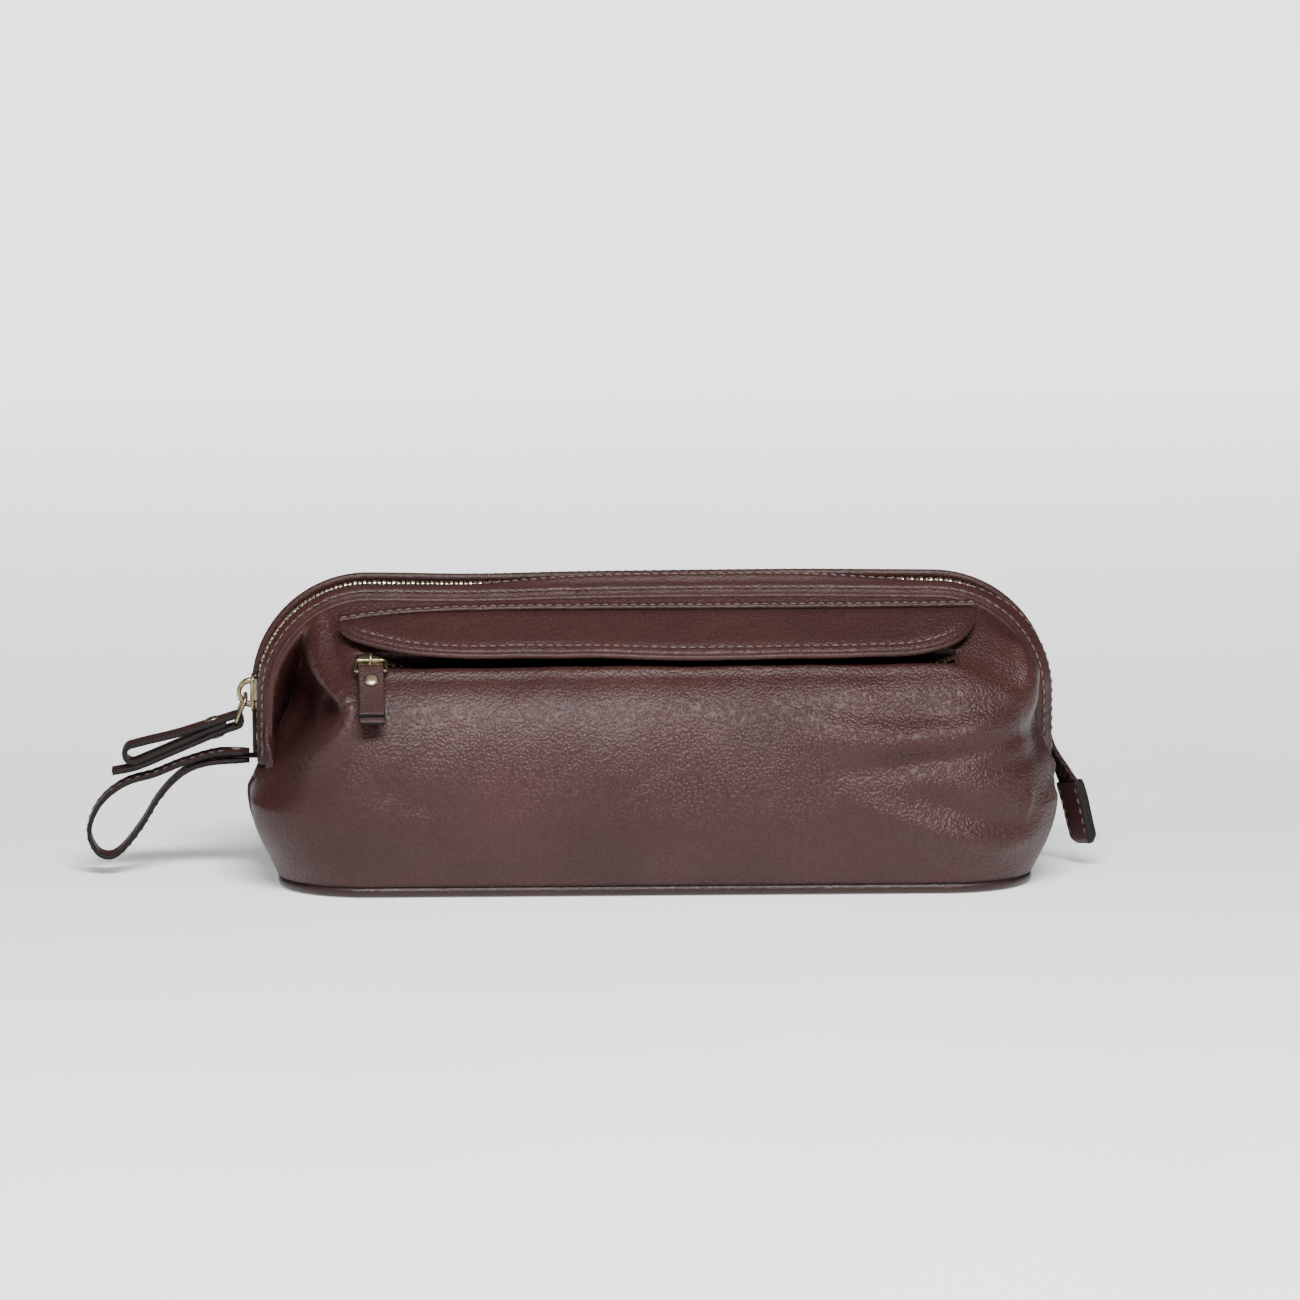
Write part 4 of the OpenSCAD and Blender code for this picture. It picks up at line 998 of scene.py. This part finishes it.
def tooth_mesh(side):
    """One tooth: a clamp over the tape and a stepped scoop at the front, as (x out, y depth, z along) rows."""
    rows = []
    for y, h, half in ((-2.9, 0.75, 0.45), (-2.7, 1.05, 0.58), (-1.7, 1.2, 0.62), (-0.9, 1.15, 0.60),
                       (-0.4, 0.85, 0.55), (0.1, 0.95, 0.62), (0.55, 0.8, 0.55), (0.72, 0.5, 0.40)):
        c = 0.25 * half
        ring_points = [(h, half - c), (h - c, half), (-h + c, half), (-h, half - c),
                       (-h, -half + c), (-h + c, -half), (h - c, -half), (h, -half + c)]
        rows.append([(p, side * y, q) for p, q in ring_points])
    return np.array(rows)


def make_teeth(side, name, node, first):
    """A row of teeth, its first one `first` mm along; below the slider the two rows stand apart."""
    one = tooth_mesh(side)
    n, k = one.shape[:2]
    pitch, row_foot, margin = 3.2, 45, 2.2
    foot = row_foot - PIVOT_Z
    length = ZIP_TOTAL - 2 * foot
    verts, faces = [], []
    for i in range(int((length - 2 * margin - first) / pitch) + 1):
        s = foot + first + margin + i * pitch
        x, z, ox, oz = along(s)
        out, go = np.array([ox, 0, oz]), np.array([-oz, 0, ox])
        apart = 1.4 * smooth((CORNER_Z - row_foot - (s - foot)) / 2.5)
        p = np.array([x, -side * apart, z]) + one[..., :1] * out + one[..., 1:2] * AWAY + one[..., 2:] * go
        verts.append(p.reshape(-1, 3))
        faces += closed_faces(n, k, i * n * k)
    o = add_object(name, np.vstack(verts), faces, TEETH, shade_smooth=False)
    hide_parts(node)
    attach(o, node.replace("_zip_teeth", "_mouth"))


# ---------------------------------------------------------------- metal parts


def plate_solid(name, outline, low, high, origin, axes, material, bevel=0.25):
    """An outline in the first two axes, raised along the third, with softened edges."""
    a, b, c = (np.array(v, float) for v in axes)
    n = len(outline)
    verts = [np.array(origin) + a * p + b * q + c * h for h in (low, high) for p, q in outline]
    sides = [[i, (i + 1) % n, n + (i + 1) % n, n + i] for i in range(n)]
    o = add_object(name, verts, [list(range(n)), list(range(n, 2 * n))] + sides, material)
    m = o.modifiers.new("soft_edges", "BEVEL")
    m.width, m.segments, m.limit_method, m.angle_limit = bevel * MM, 3, "ANGLE", math.radians(40)
    m.harden_normals = False
    flat = o.modifiers.new("flat_faces", "WEIGHTED_NORMAL")
    flat.keep_sharp = True
    return o


def joined(name, objects):
    """Joins objects into one after applying their modifiers."""
    for o in objects:
        bpy.context.view_layer.objects.active = o
        dep = bpy.context.evaluated_depsgraph_get()
        mesh = bpy.data.meshes.new_from_object(o.evaluated_get(dep))
        o.modifiers.clear()
        o.data = mesh
    with bpy.context.temp_override(active_object=objects[0], selected_editable_objects=objects):
        bpy.ops.object.join()
    objects[0].name = name
    objects[0].data.name = name
    return objects[0]


def wire_loop(name, start, end, width, wire, bend, side, material):
    """A closed rectangle of round wire between two points, its width along `side`."""
    start, end, side = np.array(start, float), np.array(end, float), np.array(side, float)
    length, d = np.linalg.norm(end - start), unit(end - start)
    far, reach = length - bend, width / 2 - bend
    pts = []
    for cx, cy, a0 in ((far, reach, 0), (bend, reach, 90), (bend, -reach, 180), (far, -reach, 270)):
        for t in np.radians(a0 + np.linspace(0, 90, 9)):
            pts.append(start + d * (cx + bend * math.cos(t)) + side * (cy + bend * math.sin(t)))
    pts = np.array(pts + [pts[0]])
    s = distance_along(pts)
    around, sides = 96, 16
    path = points_at(np.linspace(0, s[-1], around + 1), s, pts)[:-1]
    up = np.cross(d, side)
    lateral = np.cross(unit(np.roll(path, -1, 0) - np.roll(path, 1, 0)), up)
    cosine, sine = circle(sides)
    rings = path[:, None] + wire * (lateral[:, None] * cosine + up * sine)
    return add_object(name, rings.reshape(-1, 3), grid_faces(around, sides, wrap_v=True, wrap_u=True), material)


def arch(name, centre, out, across, radius, wire, material):
    """A raised wire handle over a slider's plate."""
    t = np.radians(np.linspace(-8, 188, 40))
    swell = wire * (1 + 0.35 * np.abs(np.cos(t)) ** 3)
    path = np.array(centre) + np.outer(np.cos(t), across) * radius + np.outer(np.sin(t), out) * radius
    return round_tube(name, path, swell, material, 16, np.cross(out, across))


def slider_shape(name, origin, out, across, go, length, width, room, plate, slot, material, post_end):
    """Two shield-shaped plates, turned-in sides and the post that splits the rows."""
    half, w = length / 2, width / 2
    overlap, rim, waist, shoulder = 0.1, 0.8, half * 0.35, half * 0.8
    shield = [(-w, -half + 1.0), (-w + 1.0, -half), (w - 1.0, -half), (w, -half + 1.0), (w, waist),
              (w * 0.82, shoulder), (w * 0.6, half), (-w * 0.6, half), (-w * 0.82, shoulder), (-w, waist)]
    parts = []

    def add(outline, low, high, bevel):
        parts.append(plate_solid("part", outline, low, high, origin, (across, go, out), material, bevel))

    def turned(outline):
        return [(p, -q if post_end < 0 else q) for p, q in outline]

    add(turned(shield), room, room + plate, 0.35)
    add(turned(shield), -room - plate, -room, 0.35)
    for s in (-1, 1):
        inner = s * (w - rim)
        side = turned([(s * w, -half + 1.2), (inner, -half + 0.9), (inner, waist), (s * w, waist)])
        add(side, slot, room + overlap, 0.12)
        add(side, -room - overlap, -slot, 0.12)
    ridge = [(-1.1, -half * 0.75), (1.1, -half * 0.75), (0.7, half * 0.75), (-0.7, half * 0.75)]
    add(ridge, room + plate - overlap, room + plate + 0.35, 0.2)
    q = post_end * (half - 1.6)
    post = [(-0.55, q - 1.1), (0.55, q - 1.1), (0.55, q + 1.1), (-0.55, q + 1.1)]
    add(post, -room - overlap, room + overlap, 0.15)
    return joined(name, parts)


def dome_rivet(name, centre, axis, head_r, low, high, material):
    """A rivet with a domed cap at each end of its pin."""
    cap = 0.9
    half = [(0.01, high + cap), (head_r * 0.35, high + cap * 0.97), (head_r * 0.65, high + cap * 0.82),
            (head_r * 0.88, high + cap * 0.55), (head_r, high + cap * 0.2), (head_r * 0.97, high), (0.9, high)]
    other = [(r, low - (h - high)) for r, h in half][::-1]
    return lathe(name, half + other, centre, axis, material)


# The main puller's pin and its own directions: along the leather, and off its face
PULLER_AT, PULLER_TURN = np.array([-138.62, 0, 51.23]), math.radians(162)
PULLER_X = np.array([math.cos(PULLER_TURN), 0, -math.sin(PULLER_TURN)])
PULLER_Y = np.array([math.sin(PULLER_TURN), 0, math.cos(PULLER_TURN)])
LEFT, UP, AWAY = np.array([-1.0, 0, 0]), np.array([0.0, 0, 1]), np.array([0.0, 1, 0])


def make_main_slider():
    at = (-HALF_PATH, 0, CORNER_Z)
    body = slider_shape("main_slider_plates", at, LEFT, AWAY, UP, 12, 9, 2.0, 1.1, 1.0, BRASS, -1)
    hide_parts("slider_body")
    bridge = arch("main_slider_arch", np.array(at) + LEFT * 3.1, LEFT, UP, 4.0, 0.8, BRASS)
    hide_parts("slider_bridge")
    for o in (body, bridge):
        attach(o, "main_slider")
    link = wire_loop("main_link_wire", (-135.4, 0, 59.2), PULLER_AT, 13.2, 0.7, 1.6, (0, 1, 0), BRASS)
    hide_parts("puller_link")
    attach(link, "puller_link")


def arc_points(cx, cy, r, a, b, n):
    t = np.radians(np.linspace(a, b, n + 1))
    return [(cx + r * math.cos(k), cy + r * math.sin(k)) for k in t]


def make_main_puller():
    """A strip folded round the link, its ends curled back on themselves and held by a rivet."""
    leaf, length, curl = 1.75, 40.0, 2.85
    top = -2 * leaf + 0.3
    eye = 0.7 + 0.3 + 0.8
    lower = curve_through([(length + 4.5, 1.9 * leaf), (length - 4, top + 2 * curl + leaf),
                           (0.6 * length, 1.92 * leaf), (12, 1.32 * leaf), (7, 1.06 * leaf), (3, eye)], 40)
    upper = curve_through([(7, -1.04 * leaf), (0.5 * length, -1.15 * leaf), (0.75 * length, -1.62 * leaf)], 30)
    back = curve_through([(0.75 * length, 1.16 * leaf), (0.6 * length, 0.88 * leaf), (12, 0.2 * leaf), (6, 0),
                          (3.6, 0)], 30)
    flat = np.vstack([lower, arc_points(0, 0, eye, 90, 270, 16), upper,
                      arc_points(length - 4, top + curl, curl, -90, 90, 16), back])
    path = PULLER_AT + flat[:, :1] * PULLER_X + flat[:, 1:] * PULLER_Y
    strip = flat_strap("main_puller_strip", path, strip_section(11, 1.6, 0.35, 0.12))
    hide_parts("puller_tab")
    reach = 1.06 * leaf + 0.8
    centre = PULLER_AT + PULLER_X * 7.5
    rivet = dome_rivet("main_puller_rivet", centre, PULLER_Y, 2.8, -reach - 0.05, reach + 0.3, BRASS)
    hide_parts("puller_rivet")
    for o in (strip, rivet):
        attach(o, "main_puller")


# ---------------------------------------------------------------- pocket zip, its slider and pull


def make_pocket_tapes():
    x = np.linspace(-POCKET_HALF - 0.5, POCKET_HALF + 0.5, 160)
    section = ((0.9, -0.1), (1.2, 0.25), (6.6, 0.25), (6.9, 0), (6.6, -0.25), (1.2, -0.25))
    for name, side in (("upper", 1), ("lower", -1)):
        rows = [on_shoulder(x, POCKET_DROP - side * drop, POCKET_ZIP_HEIGHT + h) for drop, h in section]
        o = loft("pocket_tape_weave_" + name, np.stack(rows, 1), TAPE)
        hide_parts("pocket_tape_" + name)
        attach(o, "front_mouth")


def make_pocket_slider():
    middle = (edge("pocket_slider_body", 0, 0) + edge("pocket_slider_body", 1, 0)) / 2
    at = on_shoulder(middle, POCKET_DROP, POCKET_ZIP_HEIGHT)
    out, across = ON_SHOULDER[1], -ON_SHOULDER[0]
    body = slider_shape("pocket_slider_plates", at, out, across, LEFT, 8.5, 6.4, 1.5, 0.8, 0.7, BRASS, 1)
    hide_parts("pocket_slider_body")
    bridge = arch("pocket_slider_arch", at + out * 2.3, out, across, 2.3, 0.55, BRASS)
    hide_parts("pocket_slider_bridge")
    for o in (body, bridge):
        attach(o, "pocket_slider")
    start, end = on_shoulder(middle, POCKET_DROP + 0.6, 0.55), on_shoulder(middle, POCKET_DROP + 9, 3.4)
    link = wire_loop("pocket_link_wire", start, end, 10.3, 0.55, 1.2, (1, 0, 0), BRASS)
    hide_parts("pocket_pull_link")
    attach(link, "pocket_pull_link")
    make_pocket_pull(end)


def make_pocket_pull(at):
    """A short strip folded round the pocket's link and held by a rivet."""
    turn = math.radians(40)
    down = np.array([0, -math.cos(turn), -math.sin(turn)])
    off = np.array([0, -math.sin(turn), math.cos(turn)])
    leaf, length, eye = 0.7, 22.0, 0.55 + 0.3 + 0.6
    under = [(length, -1.5 * leaf), (16, -1.1 * leaf), (10, -leaf), (6.5, -1.2 * leaf), (4, -1.5 * leaf)]
    over = [(4, 1.5 * leaf), (6.5, 1.2 * leaf), (10, leaf), (15, 0.95 * leaf), (length - 2, 1.1 * leaf)]
    flat = np.vstack([curve_through(under, 24), arc_points(0, 0, eye, -90, -270, 14), curve_through(over, 24)])
    path = at + flat[:, :1] * down + flat[:, 1:] * off
    strip = flat_strap("pocket_pull_strip", path, strip_section(8.5, 1.2, 0.35, 0.08), (1, 0, 0))
    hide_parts("pocket_pull_tab")
    reach = 1.5 * leaf + 0.7
    rivet = dome_rivet("pocket_pull_cap", at + down * 5.3, off, 2.6, -reach, reach, BRASS)
    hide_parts("pocket_pull_rivet")
    for o in (strip, rivet):
        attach(o, "pocket_pull")


# ---------------------------------------------------------------- flap

FLAP_SEAM_DROP, FLAP_LIFT, FLAP_TURN = 7.0, 1.5, SHOULDER - math.radians(8)
FLAP_LEFT, FLAP_RIGHT = -104.6, 106.0
# Free edge and seam of the flap: (x, depth down from the hinge line)
FLAP_FREE = [(FLAP_LEFT, 7.2), (-103.6, 9.6), (-100.7, 13.6), (-96, 17.0), (-90, 20.0), (-82, 23.2),
             (-70.7, 25.2), (-55, 25.6), (-40, 24.6), (-20, 25.0), (0, 26.0), (20, 26.3), (45, 26.3), (64, 26.3), (77, 25.4),
             (87, 23.4), (94, 20.8), (99, 17.2), (102.6, 12.2), (104.9, 6.0), (FLAP_RIGHT, 1.0)]
FLAP_SEAM = [(FLAP_LEFT, 5.6), (-100, 4.4), (-90, 2.6), (-75, 1.0), (-55, 0.2), (-30, 0), (60, 0),
             (FLAP_RIGHT, -0.4)]
FLAP_FACE, FLAP_PAD, FLAP_STITCH_INSET = 1.2, 0.9, 2.9


def flap_point(x, depth, height):
    """A point on the flap: down from its hinge line, and off its own plane."""
    x, depth, height = np.broadcast_arrays(x, depth, height)
    root = on_shoulder(x, FLAP_SEAM_DROP, FLAP_LIFT)
    down = np.array([0, -math.cos(FLAP_TURN), -math.sin(FLAP_TURN)])
    off = np.array([0, -math.sin(FLAP_TURN), math.cos(FLAP_TURN)])
    return root + depth[..., None] * down + height[..., None] * off


def flap_curl(x):
    """How far the free edge lifts in two places."""
    return 0.9 * bell((x + 70) / 26) + 0.5 * bell((x - 60) / 30)


def flap_wave(x):
    return 0.35 * wobble(x, 33, 34)


def flap_padding(x, depth):
    return FLAP_PAD * (0.85 + 0.3 * wobble(x, 31, 40) + 0.08 * wobble(x + depth * 2, 32, 17))


def flap_columns():
    """Places along the flap, closer together at its rounded ends."""
    left, right = np.linspace(FLAP_LEFT, -96, 40), np.linspace(94.3, FLAP_RIGHT, 40)
    return np.concatenate([left, np.linspace(-95.7, 94, 170), right])


def flap_solid():
    """The padded flap, thin at its seam and rounded at its free edge."""
    x = flap_columns()
    seam = table_curve(x, FLAP_SEAM)[:, None]
    span = table_curve(x, FLAP_FREE)[:, None] - seam
    share = np.concatenate([np.linspace(0, 0.9, 26), np.linspace(0.91, 1.0, 9)])
    X = np.broadcast_to(x[:, None], (len(x), len(share)))
    D = seam + span * share
    inward = span * (1 - share)
    near = np.minimum(inward, np.minimum(X - x[0], x[-1] - X))
    pad = flap_padding(X, D) * smooth(near / 6) * smooth((span * share - 0.5) / 5)
    round_off = 1.15 * (1 - np.sqrt(np.clip(1 - (1 - np.clip(near / 1.2, 0, 1)) ** 2, 0, 1)))
    groove = 0.3 * bell((near - FLAP_STITCH_INSET) / 0.5) * smooth(share / 0.12)
    bent = flap_curl(X) * share ** 2 + flap_wave(X) * share
    root = smooth(span * share / 2.6)
    top = flap_point(X, D, mix(0.3, FLAP_FACE + pad - round_off - groove + bent, root))
    under = flap_point(X, D - 0.25 * bell(inward / 0.8), mix(-0.3, -1.15 + 0.36 * round_off + bent, root))
    return loft("flap_leather", np.concatenate([top, under[:, ::-1]], 1), BODY)


def flap_rim():
    """The rolled edge along the flap's free edge."""
    x = flap_columns()
    free = np.stack([x, table_curve(x, FLAP_FREE)], 1)[2:-1]
    rim = np.vstack([[-104.4, 5.9], free, [FLAP_RIGHT, 0.6]])
    rim = curve_through(rim[::6], 420)
    height = -0.55 + flap_curl(rim[:, 0]) + flap_wave(rim[:, 0])
    return round_tube("flap_piping_roll", flap_point(rim[:, 0], rim[:, 1] + 0.15, height), 0.95, TRIM, 10)


def flap_stitches():
    """The stitches set in from the flap's free edge."""
    x = np.linspace(-99.5, 102.5, 900)
    row = np.stack([x, table_curve(x, FLAP_FREE)], 1)
    t = unit(np.gradient(row, axis=0))
    row = row + np.stack([t[:, 1], -t[:, 0]], 1) * FLAP_STITCH_INSET
    row = row[(row[:, 0] > -99) & (row[:, 0] < 102.6)]
    x, depth = row.T
    free, seam = table_curve(x, FLAP_FREE), table_curve(x, FLAP_SEAM)
    share = np.clip((depth - seam) / (free - seam), 0, 1)
    padded = flap_padding(x, depth) * smooth(FLAP_STITCH_INSET / 6)
    level = FLAP_FACE + padded - 0.25 + flap_curl(x) * share ** 2 + flap_wave(x) * share
    path = flap_point(x, depth, level)
    up = flap_point(x, depth, level + 1) - path
    return stitches("flap_stitches", path, up, THREAD, 3.1, 2.3, 0.32, -0.02)


def make_flap():
    o = flap_solid()
    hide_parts("pocket_flap")
    pipe = flap_rim()
    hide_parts("flap_piping")
    sewn = flap_stitches()
    for piece in (o, pipe, sewn):
        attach(piece, "pocket_flap")


def make_flap_seam():
    """The raised strip that holds the flap's seam down, with its row of stitches."""
    x = np.linspace(-104.5, 106.5, 240)
    drop = FLAP_SEAM_DROP + table_curve(x, FLAP_SEAM) - 2.9
    uneven = 0.12 * wobble(x, 41, 12)
    section = ((-3.4, -0.4), (-2.6, 0.15), (-1.6, 0.9), (-0.4, 1.7), (0.6, 1.95), (1.3, 1.85), (1.7, 1.3),
               (1.75, 0.4), (1.6, -0.4))
    rows = [on_shoulder(x, drop + across, h + uneven) for across, h in section]
    o = loft("flap_seam_strip", np.stack(rows, 1), TRIM)
    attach(o, "front_mouth")
    path = on_shoulder(x, drop + 0.5, 2.02 + uneven)
    up = on_shoulder(x, drop + 0.5, 3.0 + uneven) - path
    sewn = stitches("flap_seam_stitches", path, up, THREAD, 3.1, 2.3, 0.32)
    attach(sewn, "front_mouth")


# ---------------------------------------------------------------- wrist loop and zip tail

STRAP_AT = np.array([-138.7, 0, 39.3])
STRAP_CURVE = [(-4.5, 0), (0, 0), (7, -0.3), (18, -3.4), (27, -7), (36, -9.6), (43, -14.2), (47.4, -20.2),
               (49, -27), (46.4, -33), (42, -34.6), (37.4, -31.6), (31.5, -24), (25.5, -14.4), (18, -6.8),
               (10, -3.5), (0, -2.6), (-4.5, -2.6)]


def make_wrist_loop():
    """The folded strap that hangs from the left end, with stitches along both edges of its upper run."""
    curve = curve_through(STRAP_CURVE, 260)
    path = STRAP_AT + np.stack([-curve[:, 0], 0 * curve[:, 0], curve[:, 1] + 1.3], 1)
    width = np.interp(curve[:, 0], [-4.5, -2, 2], [7.5, 10.8, 12.0])
    o = flat_strap("wrist_loop_strip", path, [strip_section(w, 1.4, 0.35, 0.12) for w in width])
    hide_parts("wrist_strap")
    pin = dome_rivet("wrist_loop_pin", STRAP_AT, UP, 1.5, -2.0, 2.0, THREAD)
    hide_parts("strap_pin")
    run = path[(curve[:, 0] > 3) & (np.arange(len(curve)) < 200)]
    side, outward = frames_along(run, AWAY)[1:]
    outward = outward * np.sign(outward[0, 2])
    rows = []
    for name, offset in (("near", -3.9), ("far", 3.9)):
        row = run + side * offset + outward * 0.72
        rows.append(stitches("wrist_loop_stitches_" + name, row, outward, THREAD, 3.2, 2.2, 0.3))
    for piece in [o, pin] + rows:
        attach(piece, "wrist_strap")


def make_strap_tongue():
    """The flat tongue inside the end seam that the wrist loop is sewn to."""
    tongue = [(-3.5, -4.2), (0, -5), (5.8, -5), (7.5, -5), (7.5, 5), (5.8, 5), (0, 5), (-3.5, 4.2)]
    o = plate_solid("wrist_loop_tongue", tongue, -0.2, 0.2, STRAP_AT, (-LEFT, AWAY, UP), EDGE, 0.12)
    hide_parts("strap_tongue")
    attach(o, "bag")


TAIL_AT = np.array([132.9, 0, 44.0])


def tail_path(points, turn_from, turn_to):
    """A line through (x, z) points off the tail's hinge, and its sideways direction as it twists."""
    curve = curve_through(points, 60)
    path = TAIL_AT + np.stack([curve[:, 0], 0 * curve[:, 0], curve[:, 1]], 1)
    turn = np.radians(np.linspace(turn_from, turn_to, 60))
    return path, np.stack([-np.sin(turn), np.cos(turn), -0.3 * np.sin(turn)], 1)


def make_zip_tail():
    """The zip's woven end hanging at the right, with its stitched leather tab."""
    path, sideways = tail_path([(0, 0.7), (0.2, -1), (1.4, -5), (4.4, -11), (8.0, -18)], 0, 30)
    o = strap("zip_tail_weave", path, strip_section(11, 1.6, 0.5, 0.1), TAIL, sideways)
    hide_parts("tail_tape")
    path, sideways = tail_path([(7.0, -15.4), (8.6, -20.6), (9.9, -26), (11.2, -31.5), (12.4, -36.2)], 30, 26)
    sections = []
    for k in np.linspace(0, 1, 60):
        width = 12.6 - 1.0 * bell(k / 0.05) - 3.2 * bell((1 - k) / 0.07)
        sections.append(strip_section(width, 3.7 - 1.6 * bell((1 - k) / 0.05), 0.8, 0.2, 1.6))
    tab = flat_strap("zip_tail_tab", path, sections, sideways)
    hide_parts("tail_tab")
    side, n = frames_along(path, sideways)[1:]
    pieces = [o, tab]
    for k, (s, face) in enumerate(((-1, 1), (1, 1), (-1, -1), (1, -1))):
        row = (path + side * s * 4.7 + n * face * 1.8)[4:52]
        sewn = stitches("zip_tail_stitches_%d" % k, row, (n * face)[4:52], THREAD, 2.9, 2.1, 0.3)
        pieces.append(sewn)
    for piece in pieces:
        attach(piece, "zip_tail")


# ---------------------------------------------------------------- the whole scene

make_camera()
make_studio()
make_shells()
make_linings()
make_base()
make_end_welts()
for side, name, first_tooth in ((1, "front", 0), (-1, "back", 1.6)):
    make_band(side, name + "_band_leather", name + "_band")
    make_tape(side, name + "_tape_weave", name + "_zip_tape")
    make_teeth(side, name + "_tooth_row", name + "_zip_teeth", first_tooth)
make_main_slider()
make_main_puller()
make_pocket_tapes()
make_pocket_slider()
make_flap()
make_flap_seam()
make_wrist_loop()
make_strap_tongue()
make_zip_tail()
# the pocket's teeth and stops take the near-black brass: painted shade under the flap
for node, finish in (("front_bow", STEEL), ("back_bow", STEEL), ("base_board", BOARD),
                     ("left_frame_rivet", BRASS), ("right_frame_rivet", BRASS), ("front_zip_stops", TEETH),
                     ("back_zip_stops", TEETH), ("pocket_zip_stops", SHADE_DARK_BRASS), ("pocket_teeth", SHADE_DARK_BRASS)):
    paint(node, finish)
